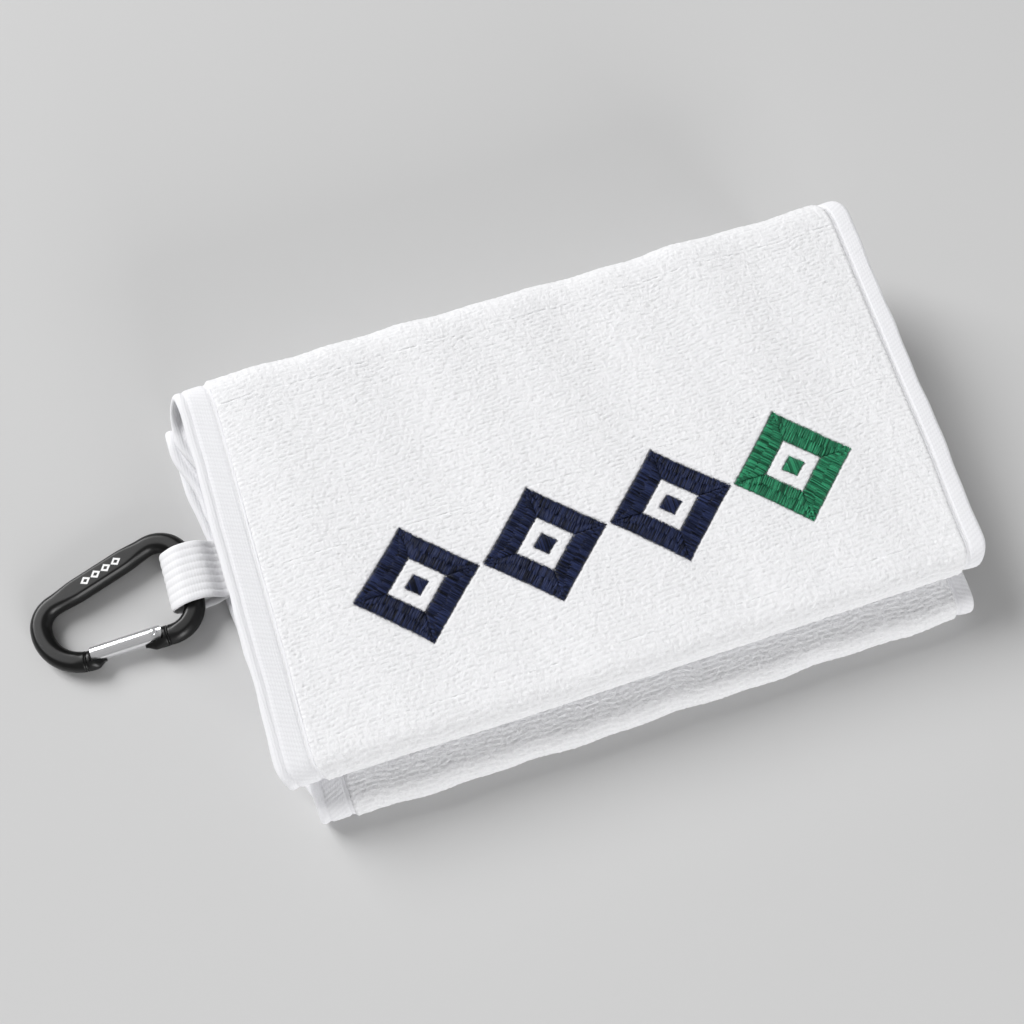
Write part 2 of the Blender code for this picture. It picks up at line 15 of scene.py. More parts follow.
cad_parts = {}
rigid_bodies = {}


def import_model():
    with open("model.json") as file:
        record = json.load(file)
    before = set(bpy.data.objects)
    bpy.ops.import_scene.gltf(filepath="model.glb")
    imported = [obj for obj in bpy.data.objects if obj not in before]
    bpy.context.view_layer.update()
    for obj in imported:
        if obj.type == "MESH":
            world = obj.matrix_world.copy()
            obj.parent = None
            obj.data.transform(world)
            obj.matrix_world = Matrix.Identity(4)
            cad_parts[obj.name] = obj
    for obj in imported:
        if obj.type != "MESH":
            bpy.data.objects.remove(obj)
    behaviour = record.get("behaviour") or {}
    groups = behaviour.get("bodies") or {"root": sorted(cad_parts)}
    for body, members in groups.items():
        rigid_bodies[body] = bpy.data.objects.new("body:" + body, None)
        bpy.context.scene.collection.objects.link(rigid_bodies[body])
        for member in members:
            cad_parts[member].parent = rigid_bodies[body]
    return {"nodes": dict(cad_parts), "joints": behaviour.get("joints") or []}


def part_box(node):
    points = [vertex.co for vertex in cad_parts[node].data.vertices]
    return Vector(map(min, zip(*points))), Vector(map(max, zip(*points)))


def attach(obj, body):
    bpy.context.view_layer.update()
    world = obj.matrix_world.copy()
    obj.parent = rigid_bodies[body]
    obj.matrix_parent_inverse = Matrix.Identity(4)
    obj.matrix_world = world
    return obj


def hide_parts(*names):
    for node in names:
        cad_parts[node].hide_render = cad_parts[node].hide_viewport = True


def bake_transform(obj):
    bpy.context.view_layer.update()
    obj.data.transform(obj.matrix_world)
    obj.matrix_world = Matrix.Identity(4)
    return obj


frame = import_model()

bl_info = {
    "name": "Folded Golf Towel",
    "version": (1, 0, 0),
    "blender": (4, 5, 0),
    "location": "View3D > Sidebar > Golf Towel",
    "description": "Builds a folded terry towel with hems, embroidery, a webbing loop and a snap clip",
    "category": "Object",
}

TAU = 2 * math.pi
SEED = 7
PILE_STEP = 0.00057       # grid of the pile's surface
PILE_DEPTH = 0.0020       # the pile's sole below the cloth's face
GROUND_DROP = 0.0011      # the ground weave below the pile
# painted shade level of the ground weave, on the scale of the pile's loop heights
GROUND_TONE = 0.75
ZONE_EDGE = 80            # degrees: zones of pile stay crisp where they meet
FIRST_GROOVE = 0.0042     # outer edge of the left band to the groove behind its rim
SIDE_SEAM_INSET = 0.0014  # seam of a side hem to the terry
END_SEAM_INSET = 0.0019   # seam of an end hem to its inner edge
SIDE_SEAM_LEVEL = 0.00098 # middle of the cloth to the thread in its groove
WEBBING_STEP = 0.0004     # spacing of the sections along the webbing
THREAD_BEDDING = 0.00035  # reach each side of the webbing's hinge line, given to its piece, which is not bent
BEND_REACH = 0.003        # the webbing bends over this much on each side of its hinge line
ROOM_OVER = 0.0013        # air between the webbing and the bar above it, so that the bar can turn
ROOM_UNDER = 0.0004       # air between the webbing and the floor
BAR_SIDES = 96            # points round the clip bar's section
BAR_STEP = 0.0005         # spacing of the sections along the clip bar
FACET_SHARPNESS = 36.0    # power of the bar's section: higher gives a crisper flat


# ---------------------------------------------------------------- colours and properties

def linear_rgb(code):
    """Linear red, green and blue of an sRGB colour written as #RRGGBB."""
    parts = [int(code[i:i + 2], 16) / 255 for i in (1, 3, 5)]
    return tuple(p / 12.92 if p <= 0.04045 else ((p + 0.055) / 1.055) ** 2.4 for p in parts)


def length(name, description, default):
    """A size in metres."""
    return bpy.props.FloatProperty(name=name, description=description, default=default, min=0.0,
                                   precision=5, unit="LENGTH")


def colour(name, description, code):
    """A colour given as #RRGGBB."""
    return bpy.props.FloatVectorProperty(name=name, description=description, default=linear_rgb(code),
                                         size=3, min=0.0, max=1.0, subtype="COLOR")


def slant(name, description, degrees):
    """An angle given in degrees."""
    return bpy.props.FloatProperty(name=name, description=description, default=math.radians(degrees),
                                   unit="ROTATION")


def amount(name, description, default):
    """A plain number."""
    return bpy.props.FloatProperty(name=name, description=description, default=default, min=0.0)


class ClothSizes(bpy.types.PropertyGroup):
    """Sizes of the terry cloth and of the way it is folded."""

    width: length("Width", "Hem edge to hem edge", 0.300)
    total: length("Length", "End to end, before folding", 0.800)
    thickness: length("Thickness", "Ground weave with its loops on both faces", 0.0048)
    layer_gap: length("Layer gap", "Air between two layers that lie on each other", 0.0010)
    lower_fold: length("Lower far fold", "Height of the lower far fold", 0.0274)
    lower_roll: length("Lower front roll", "Height of the lower front roll", 0.0155)
    upper_roll: length("Upper front roll", "Height of the upper front roll", 0.0204)
    setback: length("Roll setback", "Upper roll's front behind the lower roll's front", 0.0130)
    loop_row: length("Loop row", "Distance between two rows of loops", 0.0018)
    loop_step: length("Loop step", "Distance between two loops of a row", 0.0013)
    loop_height: length("Loop height", "Heads of the loops over the gaps between them", 0.00058)
    front_swell: length("Front swell", "How far the two front rolls bulge forward", 0.0036)
    front_slump: length("Front slump", "How far the top sinks towards the upper roll", 0.0040)


class HemSizes(bpy.types.PropertyGroup):
    """Sizes of the flat woven hems."""

    left_width: length("Left hem", "Width of the hem on the loop side", 0.0150)
    right_width: length("Right hem", "Width of the hem on the plain side", 0.0090)
    end_width: length("End hem", "Width of the two tucked end hems", 0.0120)
    rim_radius: length("Rim radius", "Radius of the rolled outer edge", 0.0019)
    rib_pitch: length("Rib pitch", "Distance between two ribs of the weave", 0.0018)
    rib_height: length("Rib height", "Height of a rib", 0.00034)
    stitch_pitch: length("Stitch pitch", "Distance from one stitch to the next", 0.0029)
    stitch_length: length("Stitch length", "Length of the thread that shows in one stitch", 0.0027)
    thread_radius: length("Thread radius", "Radius of the sewing thread", 0.00022)


class EmbroiderySizes(bpy.types.PropertyGroup):
    """Sizes of the satin stitches."""

    stroke: length("Stroke", "Width of a diamond's outline", 0.0095)
    pitch: length("Stitch pitch", "Distance between two satin stitches", 0.00046)
    thread_radius: length("Thread radius", "Half the width of a satin stitch", 0.00029)
    sink: length("Sink", "How deep the stitches press into the pile", 0.0012)


class WebbingSizes(bpy.types.PropertyGroup):
    """Sizes of the webbing loop."""

    width: length("Width", "Width of the webbing", 0.0272)
    thickness: length("Thickness", "Thickness at a rib", 0.0015)
    ribs: bpy.props.IntProperty(name="Ribs", description="Cords along the webbing", default=8, min=1)
    tail: length("Tail", "Length of webbing sewn on to the hem", 0.0120)
    lean: length("Lean", "How far the loop lies off its middle", 0.0008)


class ClipSizes(bpy.types.PropertyGroup):
    """Sizes of the snap clip, in its own plane."""

    reach: length("Reach", "Middle of the wide end to the middle of the narrow end", 0.0659)
    spine_side: length("Spine side", "Spine line at the wide end", 0.0252)
    spine_angle: slant("Spine angle", "Slant of the spine", 16.7)
    gate_side: length("Gate side", "Frame's line on the gate side", 0.0218)
    bar_width: length("Bar width", "Frame's section in the clip's plane", 0.0090)
    spine_width: length("Spine width", "Widest part of the spine", 0.0106)
    bar_height: length("Bar height", "Frame's section across the clip's plane", 0.0084)
    wide_radius: length("Wide corner", "Bend radius at the wide end", 0.0118)
    spine_radius: length("Spine corner", "Bend radius at the end of the spine", 0.0105)
    narrow_radius: length("Narrow corner", "Bend radius at the nose", 0.0188)
    gate_radius: length("Gate radius", "Radius of the tubular gate", 0.0036)
    gate_offset: length("Gate offset", "Gate's line inside the frame's line", 0.0023)
    pivot: length("Pivot", "Wide end to the gate's pivot", 0.0194)
    lip: length("Nose lip", "Lip under the gate's free end", 0.0064)
    hinge_lip: length("Hinge lip", "Lip under the gate's pivot end", 0.0089)
    gap: length("Gap", "Air round the gate", 0.0003)


class StageSizes(bpy.types.PropertyGroup):
    """Camera and lights."""

    lens: amount("Lens", "Focal length in millimetres", 45.70)
    camera: bpy.props.FloatVectorProperty(name="Camera", description="Place of the camera", size=3,
                                          default=(-0.0978, -0.1933, 0.5415), subtype="TRANSLATION")
    tilt: slant("Tilt", "Camera's tilt from straight down", 21.87)
    turn: slant("Turn", "Camera's turn about the vertical", -18.49)
    key_power: amount("Key power", "Watts of the main soft box", 246.0)
    fill_power: amount("Fill power", "Watts of the low front soft box", 36.0)
    sky: amount("Sky", "Strength of the room's light", 0.28)


class FinishColours(bpy.types.PropertyGroup):
    """Colours of the materials."""

    cotton: colour("Cotton", "Terry pile", "#F4F4F6")
    hem: colour("Hem", "Flat woven hems", "#ECECEF")
    thread: colour("Thread", "White sewing thread", "#F2F2F3")
    navy: colour("Navy", "Navy embroidery thread", "#262E4D")
    green: colour("Green", "Green embroidery thread", "#348B65")
    webbing: colour("Webbing", "Loop", "#F0F0F2")
    anodised: colour("Anodised black", "Round sides of the clip frame", "#0C0C0D")
    # Grey of the flats: a painted reflection of the light overhead.
    painted_flat_sheen: colour("Milled flats", "Flat faces of the clip frame", "#444446")
    bright: colour("Bright aluminium", "Gate and rivet", "#EFEFF1")
    steel: colour("Spring steel", "Spring and plunger", "#A8A8AC")
    felt: colour("Felt", "Embroidery backing", "#E6E6E4")
    ink: colour("Ink", "Pad print on the clip", "#F4F4F4")
    paper: colour("Paper", "Studio floor", "#CBCBCB")


def sizes():
    """The scene's settings."""
    return bpy.context.scene.golf_towel


# ---------------------------------------------------------------- nodes and materials

def add_node(tree, kind, inputs=None, **settings):
    """Adds a node; inputs maps a socket to a value, or to the output socket that feeds it."""
    node = tree.nodes.new(kind)
    for key, value in settings.items():
        setattr(node, key, value)
    for key, value in (inputs or {}).items():
        if isinstance(value, bpy.types.NodeSocket):
            tree.links.new(value, node.inputs[key])
        else:
            node.inputs[key].default_value = value
    return node


def new_material(name, tint, **shader_values):
    """Material with a Principled shader: returns it, its tree, its shader and its place coordinates."""
    material = bpy.data.materials.new(name)
    material.use_nodes = True
    tree = material.node_tree
    shader = tree.nodes["Principled BSDF"]
    shader.inputs["Base Color"].default_value = (*tint, 1.0)
    for key, value in shader_values.items():
        shader.inputs[key.replace("_", " ")].default_value = value
    place = add_node(tree, "ShaderNodeTexCoord").outputs["Object"]
    return material, tree, shader, place


def bump_from(tree, shader, height, strength, distance):
    """Feeds a height, in shares of distance, to the shader's normal."""
    bump = add_node(tree, "ShaderNodeBump",
                    {"Height": height, "Strength": strength, "Distance": distance})
    tree.links.new(bump.outputs["Normal"], shader.inputs["Normal"])


def tinted(tree, shader, share, dark, light):
    """Base colour that runs from dark to light as share runs from 0 to 1."""
    mix = add_node(tree, "ShaderNodeMix", {"Factor": share}, data_type="RGBA")
    mix.inputs["A"].default_value = (*dark, 1.0)
    mix.inputs["B"].default_value = (*light, 1.0)
    tree.links.new(mix.outputs["Result"], shader.inputs["Base Color"])


def shaded(tint, share):
    """The same colour, darker or lighter by a factor."""
    return tuple(share * part for part in tint)


def terry_cotton(name, colours):
    """Combed cotton loops: matte and soft, with a light nap and small shadows between the loops."""
    material, tree, shader, place = new_material(name, colours.cotton, Roughness=0.95,
                                                 Sheen_Weight=0.25, Sheen_Roughness=0.6)
    # Yarn heads of about 0.8 mm and tufts of about 0.6 mm, coarser than single fibres so that they show.
    yarn = add_node(tree, "ShaderNodeTexVoronoi", {"Vector": place, "Scale": 1200.0, "Randomness": 0.9},
                    feature="SMOOTH_F1")
    fibre = add_node(tree, "ShaderNodeTexNoise", {"Vector": place, "Scale": 1800.0, "Detail": 3.0})
    both = add_node(tree, "ShaderNodeMath", {0: fibre.outputs["Fac"], 1: yarn.outputs["Distance"]},
                    operation="SUBTRACT")
    bump_from(tree, shader, both.outputs["Value"], 0.5, 0.0005)
    # The base colour runs darker away from the yarn heads and where the loop heads sit low (the tone
    # attribute): painted shade in the hollows between the loops.
    depth = add_node(tree, "ShaderNodeAttribute", attribute_name="tone")
    light = add_node(tree, "ShaderNodeMath", {0: both.outputs["Value"], 1: 0.5, 2: depth.outputs["Fac"]},
                     operation="MULTIPLY_ADD", use_clamp=True)
    tinted(tree, shader, light.outputs["Value"], shaded(colours.cotton, 0.87), colours.cotton)
    return material


def woven_hem(name, colours):
    """Flat woven cotton hem: matte, with fine threads along and across its ribs."""
    material, tree, shader, place = new_material(name, colours.hem, Roughness=0.9,
                                                 Sheen_Weight=0.15, Sheen_Roughness=0.6)
    # Threads about 1 mm apart along X, broken up by fibre of about 0.4 mm.
    weave = add_node(tree, "ShaderNodeTexWave",
                     {"Vector": place, "Scale": 300.0, "Distortion": 2.0, "Detail": 1.0,
                      "Detail Scale": 2.0}, bands_direction="X")
    fibre = add_node(tree, "ShaderNodeTexNoise", {"Vector": place, "Scale": 2500.0, "Detail": 3.0})
    both = add_node(tree, "ShaderNodeMath", {0: fibre.outputs["Fac"], 1: weave.outputs["Fac"]},
                    operation="ADD")
    bump_from(tree, shader, both.outputs["Value"], 0.35, 0.0002)
    # The tone attribute darkens the ribs' valleys and the grooves: painted shade.
    rib = add_node(tree, "ShaderNodeAttribute", attribute_name="tone")
    light = add_node(tree, "ShaderNodeMath", {0: fibre.outputs["Fac"], 1: 0.3, 2: rib.outputs["Fac"]},
                     operation="MULTIPLY_ADD", use_clamp=True)
    tinted(tree, shader, light.outputs["Value"], shaded(colours.hem, 0.84), colours.hem)
    return material


def ribbed_webbing(name, colours):
    """Woven polyester webbing: a little smoother than the cotton, with fine weft across its cords."""
    material, tree, shader, place = new_material(name, colours.webbing, Roughness=0.75,
                                                 Sheen_Weight=0.2, Sheen_Roughness=0.5)
    # Weft threads about 1.2 mm apart, running across the webbing, coarse enough to show.
    weft = add_node(tree, "ShaderNodeTexWave", {"Vector": place, "Scale": 260.0, "Distortion": 1.0},
                    bands_direction="X")
    fibre = add_node(tree, "ShaderNodeTexNoise", {"Vector": place, "Scale": 2200.0, "Detail": 2.0})
    both = add_node(tree, "ShaderNodeMath", {0: weft.outputs["Fac"], 1: fibre.outputs["Fac"]},
                    operation="ADD")
    bump_from(tree, shader, both.outputs["Value"], 0.2, 0.0002)
    tinted(tree, shader, fibre.outputs["Fac"], shaded(colours.webbing, 0.94), colours.webbing)
    return material


def spun_thread(name, tint, roughness, dark_share, light_share):
    """Twisted thread: each strand has its own shade, and fine ply lines make it shimmer."""
    material, tree, shader, place = new_material(name, tint, Roughness=roughness, Sheen_Weight=0.02,
                                                 Specular_IOR_Level=0.14)
    strand = add_node(tree, "ShaderNodeAttribute", attribute_name="tone")
    ply = add_node(tree, "ShaderNodeTexNoise", {"Vector": place, "Scale": 2600.0, "Detail": 2.0})
    share = add_node(tree, "ShaderNodeMath", {0: strand.outputs["Fac"], 1: ply.outputs["Fac"]},
                     operation="MULTIPLY")
    bump_from(tree, shader, ply.outputs["Fac"], 0.3, 0.0002)
    tinted(tree, shader, share.outputs["Value"], shaded(tint, dark_share), shaded(tint, light_share))
    return material


def black_anodised(name, colours):
    """Black anodised aluminium: near black and polished on its round sides, satin on its flats, where a grey
    base colour is a painted reflection of the light overhead.
    """
    material, tree, shader, place = new_material(name, colours.anodised, Specular_IOR_Level=0.8,
                                                 Coat_Weight=0.5, Coat_Roughness=0.08)
    # Etched grain of about 0.2 mm.
    grain = add_node(tree, "ShaderNodeTexNoise", {"Vector": place, "Scale": 5000.0, "Detail": 2.0})
    bump_from(tree, shader, grain.outputs["Fac"], 0.05, 0.0001)
    # The tone attribute marks the flats: rougher there, and grey in the base colour as a painted reflection
    # of the light overhead.
    flat = add_node(tree, "ShaderNodeAttribute", attribute_name="tone").outputs["Fac"]
    rough = add_node(tree, "ShaderNodeMapRange", {"Value": flat, "To Min": 0.14, "To Max": 0.38})
    tree.links.new(rough.outputs["Result"], shader.inputs["Roughness"])
    tinted(tree, shader, flat, colours.anodised, colours.painted_flat_sheen)
    return material


def drawn_metal(name, tint, roughness):
    """Drawn aluminium or steel: bright, with long fine draw lines along it."""
    material, tree, shader, place = new_material(name, tint, Roughness=roughness, Metallic=0.75)
    stretch = add_node(tree, "ShaderNodeMapping", {"Vector": place, "Scale": (40.0, 4000.0, 4000.0)})
    lines = add_node(tree, "ShaderNodeTexNoise", {"Vector": stretch.outputs["Vector"], "Scale": 1.0,
                                                  "Detail": 2.0})
    bump_from(tree, shader, lines.outputs["Fac"], 0.08, 0.0001)
    tinted(tree, shader, lines.outputs["Fac"], shaded(tint, 0.9), tint)
    return material


def felt_backing(name, colours):
    """Non-woven tear-away backing: matte, with matted fibres of about 0.4 mm."""
    material, tree, shader, place = new_material(name, colours.felt, Roughness=0.95)
    fibre = add_node(tree, "ShaderNodeTexNoise", {"Vector": place, "Scale": 2500.0, "Detail": 4.0})
    bump_from(tree, shader, fibre.outputs["Fac"], 0.5, 0.0002)
    tinted(tree, shader, fibre.outputs["Fac"], shaded(colours.felt, 0.9), colours.felt)
    return material


def pad_print_ink(name, colours):
    """White pad-print ink: thin, slightly glossy."""
    material, tree, shader, place = new_material(name, colours.ink, Roughness=0.45)
    wear = add_node(tree, "ShaderNodeTexNoise", {"Vector": place, "Scale": 1500.0, "Detail": 2.0})
    tinted(tree, shader, wear.outputs["Fac"], shaded(colours.ink, 0.9), colours.ink)
    return material


def studio_paper(name, colours):
    """Matte background paper."""
    material, tree, shader, place = new_material(name, colours.paper, Roughness=0.95,
                                                 Specular_IOR_Level=0.1)
    tooth = add_node(tree, "ShaderNodeTexNoise", {"Vector": place, "Scale": 1200.0, "Detail": 2.0})
    bump_from(tree, shader, tooth.outputs["Fac"], 0.03, 0.0001)
    return material


FINISHES = {
    "terry": ("looped_terry_cotton", terry_cotton),
    "hem": ("flat_woven_cotton_hem", woven_hem),
    "webbing": ("ribbed_polyester_webbing", ribbed_webbing),
    "thread": ("white_sewing_thread", lambda n, c: spun_thread(n, c.thread, 0.7, 0.85, 1.0)),
    "navy": ("navy_rayon_thread", lambda n, c: spun_thread(n, c.navy, 0.36, 0.10, 2.6)),
    "green": ("green_rayon_thread", lambda n, c: spun_thread(n, c.green, 0.36, 0.22, 2.4)),
    "anodised": ("black_anodised_aluminium", black_anodised),
    "gate": ("bright_drawn_aluminium", lambda n, c: drawn_metal(n, c.bright, 0.18)),
    "rivet": ("polished_rivet_aluminium", lambda n, c: drawn_metal(n, c.bright, 0.14)),
    "steel": ("drawn_spring_steel", lambda n, c: drawn_metal(n, c.steel, 0.3)),
    "felt": ("non_woven_backing", felt_backing),
    "ink": ("white_pad_print_ink", pad_print_ink),
    "paper": ("studio_paper", studio_paper),
}


def finish_named(key):
    """The material of that key, made the first time it is asked for."""
    name, make = FINISHES[key]
    return bpy.data.materials.get(name) or make(name, sizes().colours)


# ---------------------------------------------------------------- surfaces as arrays

def tubes(rings):
    """Closed tubes from rings of points, shaped (tubes, rows, columns, 3); each end is one flat face.

    Row r and column c of a tube make the quad (r, c), (r, c+1), (r+1, c+1), (r+1, c); columns wrap."""
    count, rows, columns, _ = rings.shape
    tube = np.arange(count)[:, None, None] * rows * columns
    row = np.arange(rows - 1)[None, :, None]
    column = np.arange(columns)[None, None, :]
    after = (column + 1) % columns
    corners = [row * columns + column, row * columns + after,
               (row + 1) * columns + after, (row + 1) * columns + column]
    quads = np.stack([tube + corner for corner in corners], axis=-1).reshape(-1, 4)
    starts = np.arange(count)[:, None] * rows * columns
    first = starts + np.arange(columns)[::-1]
    last = starts + (rows - 1) * columns + np.arange(columns)
    return rings.reshape(-1, 3), quads.tolist() + first.tolist() + last.tolist()


def looped(rings):
    """Closed ring surface from sections shaped (rows, columns, 3), wrapping both ways."""
    rows, columns, _ = rings.shape
    row = np.arange(rows)[:, None]
    column = np.arange(columns)[None, :]
    down = (row + 1) % rows
    after = (column + 1) % columns
    quads = np.stack([row * columns + column, row * columns + after,
                      down * columns + after, down * columns + column], axis=-1)
    return rings.reshape(-1, 3), quads.reshape(-1, 4).tolist()


def joined(*shapes):
    """One list of points and faces from several."""
    points = np.concatenate([shape[0] for shape in shapes])
    faces = []
    start = 0
    for shape_points, shape_faces in shapes:
        faces += [[start + corner for corner in face] for face in shape_faces]
        start += len(shape_points)
    return points, faces


def make_piece(name, shape, finish, body, stands_for=(), tone=None, sharp=None):
    """Mesh object from points and faces, turned outward, with its material and body, hiding the CAD nodes it
    stands for.

    tone is a value for each point, which its material reads as its shade: random tone on threads, painted
    shade in the hollows of the terry, the hems and the satin, and a painted reflection on the clip's flats."""
    points, faces = shape
    mesh = bpy.data.meshes.new(name)
    mesh.from_pydata(points.tolist(), [], faces)
    work = bmesh.new()
    work.from_mesh(mesh)
    if work.calc_volume(signed=True) < 0:
        bmesh.ops.reverse_faces(work, faces=work.faces)
    work.to_mesh(mesh)
    work.free()
    mesh.shade_smooth()
    if sharp is not None:
        mesh.set_sharp_from_angle(angle=math.radians(sharp))
    if tone is not None:
        layer = mesh.attributes.new("tone", "FLOAT", "POINT")
        layer.data.foreach_set("value", tone.astype(np.float32))
    mesh.materials.append(finish_named(finish))
    piece = bpy.data.objects.new(name, mesh)
    bpy.context.scene.collection.objects.link(piece)
    if isinstance(body, str):
        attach(piece, body)
    else:
        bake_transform(piece)
    if stands_for:
        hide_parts(*stands_for)


def evenly(low, high, step):
    """Evenly spaced values from low to high, about step apart."""
    return np.linspace(low, high, int(round((high - low) / step)) + 1)


def smooth_step(value, low, high):
    """0 below low and 1 above high, easing between them."""
    share = np.clip((value - low) / (high - low), 0.0, 1.0)
    return share * share * (3 - 2 * share)


def scatter(column, row, seed):
    """Repeatable value from 0 to 1 for each whole-number cell: the fraction of a large sine."""
    return (np.sin(column * 127.1 + row * 311.7 + seed * 74.7) * 43758.5453) % 1.0


def loop_heads(across, along, step, pitch, seed):
    """Height from 0 to 1 of terry loops.

    Each cell of a staggered grid holds one head, moved off its middle a little; a head is a half dome
    over it, and the highest head wins where two meet."""
    row = np.floor(along / pitch)
    best = np.zeros_like(across)
    for down in (-1, 0, 1):
        near_row = row + down
        shifted = across / step + 0.5 * (near_row % 2)
        cell = np.floor(shifted)
        for beside in (-1, 0, 1):
            near = cell + beside
            side = shifted - near - 0.5 - 0.7 * (scatter(near, near_row, seed) - 0.5)
            front = along / pitch - near_row - 0.5 - 0.22 * (scatter(near, near_row, seed + 1) - 0.5)
            tall = 0.58 + 0.42 * scatter(near, near_row, seed + 2)
            dome = np.sqrt(np.clip(1.0 - side * side / 0.80 - front * front / 0.25, 0.0, None))
            best = np.maximum(best, tall * dome)
    return best


# ---------------------------------------------------------------- the folded sheet

class FoldedSheet:
    """The folded cloth: turns a place on the flat cloth into a point in space.

    x runs across the cloth from hem to hem, s along it from the upper tucked end to the lower one, and
    lift is the distance off its middle face, positive towards the embroidered face."""

    def __init__(self, cloth):
        self.cloth = cloth
        self.half = cloth.thickness / 2
        low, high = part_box("towel_cloth")
        self.front, self.back, self.top = low.y, high.y, high.z
        folds, run = self.round_folds()
        self.measure(folds, run)

    def round_folds(self):
        """Centre and signed radius of the four folds, and the slope of the middle panel."""
        cloth, half = self.cloth, self.half
        low_far = cloth.lower_fold / 2 - half
        low_front = cloth.lower_roll / 2 - half
        high_far = (self.top - cloth.lower_fold - cloth.layer_gap) / 2 - half
        high_front = cloth.upper_roll / 2 - half
        lower_fold = (self.back - low_far - half, low_far + half, low_far)
        lower_roll = (self.front + low_front + half, low_front + half, low_front)
        upper_fold = (self.back - high_far - half, self.top - high_far - half, -high_far)
        run = self.direction(upper_fold, lower_roll)
        across = (math.sin(run), -math.cos(run))
        on_y = lower_roll[0] + math.sin(run) * low_front
        on_z = lower_roll[1] - math.cos(run) * low_front
        roll_y = self.front + cloth.setback + high_front + half
        lift = (high_front + cloth.thickness + cloth.layer_gap) / across[1]
        roll_z = on_z - (roll_y - on_y) * across[0] / across[1] + lift
        return [(roll_y, roll_z, -high_front), upper_fold, lower_roll, lower_fold], run

    @staticmethod
    def direction(first, second):
        """Direction of the straight run that leaves one round fold and enters the next."""
        gap_y, gap_z = second[0] - first[0], second[1] - first[1]
        turn = math.asin((second[2] - first[2]) / math.hypot(gap_y, gap_z))
        return math.atan2(gap_z, gap_y) - turn

    def measure(self, folds, run):
        """Middle line as arrays of y, z and direction against the length along the cloth.

        A fold is an arc of points centre - radius * normal, where normal is (-sin a, cos a)."""
        angles = [run] + [self.direction(a, b) for a, b in zip(folds, folds[1:])] + [run]
        y, z, a = [], [], []
        turned = run
        for (centre_y, centre_z, radius), start, stop in zip(folds, angles, angles[1:]):
            turn = (stop - start) % TAU if radius > 0 else -((start - stop) % TAU)
            arc = turned + np.linspace(0.0, turn, 160)
            y.append(centre_y + radius * np.sin(arc))
            z.append(centre_z - radius * np.cos(arc))
            a.append(arc)
            turned += turn
        spans = np.concatenate([[0.0], np.cumsum(np.hypot(np.diff(np.concatenate(y)),
                                                          np.diff(np.concatenate(z))))])
        tuck = (self.cloth.total - spans[-1]) / 2
        step = tuck * np.array([math.cos(run), math.sin(run)])
        self.y = np.concatenate([[y[0][0] - step[0]], *y, [y[-1][-1] + step[0]]])
        self.z = np.concatenate([[z[0][0] - step[1]], *z, [z[-1][-1] + step[1]]])
        self.a = np.concatenate([[a[0][0]], *a, [a[-1][-1]]])
        self.s = np.concatenate([[0.0], spans + tuck, [self.cloth.total]])
        ends = np.arange(4) * 160
        self.fold_start = self.s[ends + 1]
        self.fold_end = self.s[ends + 160]

    def eased(self, s, stops, values):
        """Values at the stops along the cloth, eased in between."""
        part = np.interp(s, stops, np.arange(len(stops)))
        whole_part = np.floor(part)
        share = part - whole_part
        return np.interp(whole_part + share * share * (3 - 2 * share), np.arange(len(values)), values)

    def slides(self, s):
        """How far the left and the right rim slide along X, because the layers don't lie square.

        Each row holds a place along the cloth, then the left and the right slide in millimetres."""
        start, end, total = self.fold_start, self.fold_end, self.cloth.total

        def part(first, last, share):
            return first + (last - first) * share

        rows = np.array([
            (0.0, -2, -6),                                # upper tucked end
            (start[0], 2, -8),                            # upper front roll
            (part(start[0], end[0], 0.5), -3, -3),
            (end[0], -5, -0.5),                           # top panel
            (part(end[0], start[1], 0.3), -4, 0.5),
            (start[1], -3, 1),                            # upper far fold
            (end[1], -11, -4),                            # middle panel
            (part(end[1], start[2], 0.12), -5, -7),
            (part(end[1], start[2], 0.5), 0, -8),
            (start[2], 4, -6),                            # lower front roll
            (end[2], 4, -6),                              # bottom panel
            (part(end[2], start[3], 0.14), -2, -8),
            (part(end[2], start[3], 0.45), -9, -8),
            (part(end[2], start[3], 0.7), -11, -8),
            (start[3], -16, -9),                          # lower far fold
            (end[3], -15, -10),                           # lower tuck
            (part(end[3], total, 0.3), -8, -10),
            (part(end[3], total, 0.55), -3, -10),
            (total, 1, -10),
        ])
        stops, left, right = rows[:, 0], rows[:, 1] / 1000, rows[:, 2] / 1000
        return self.eased(s, stops, left), self.eased(s, stops, right)

    def place(self, x, s, lift):
        """Point in space of a place on the cloth; the whole stack then settles."""
        x, s, lift = np.broadcast_arrays(x, s, lift)
        angle = np.interp(s, self.s, self.a)
        y = np.interp(s, self.s, self.y) - np.sin(angle) * lift
        z = np.interp(s, self.s, self.z) + np.cos(angle) * lift
        left, right = self.slides(s)
        share = x / self.cloth.width + 0.5
        return self.settled(x + left + (right - left) * share, y, z)

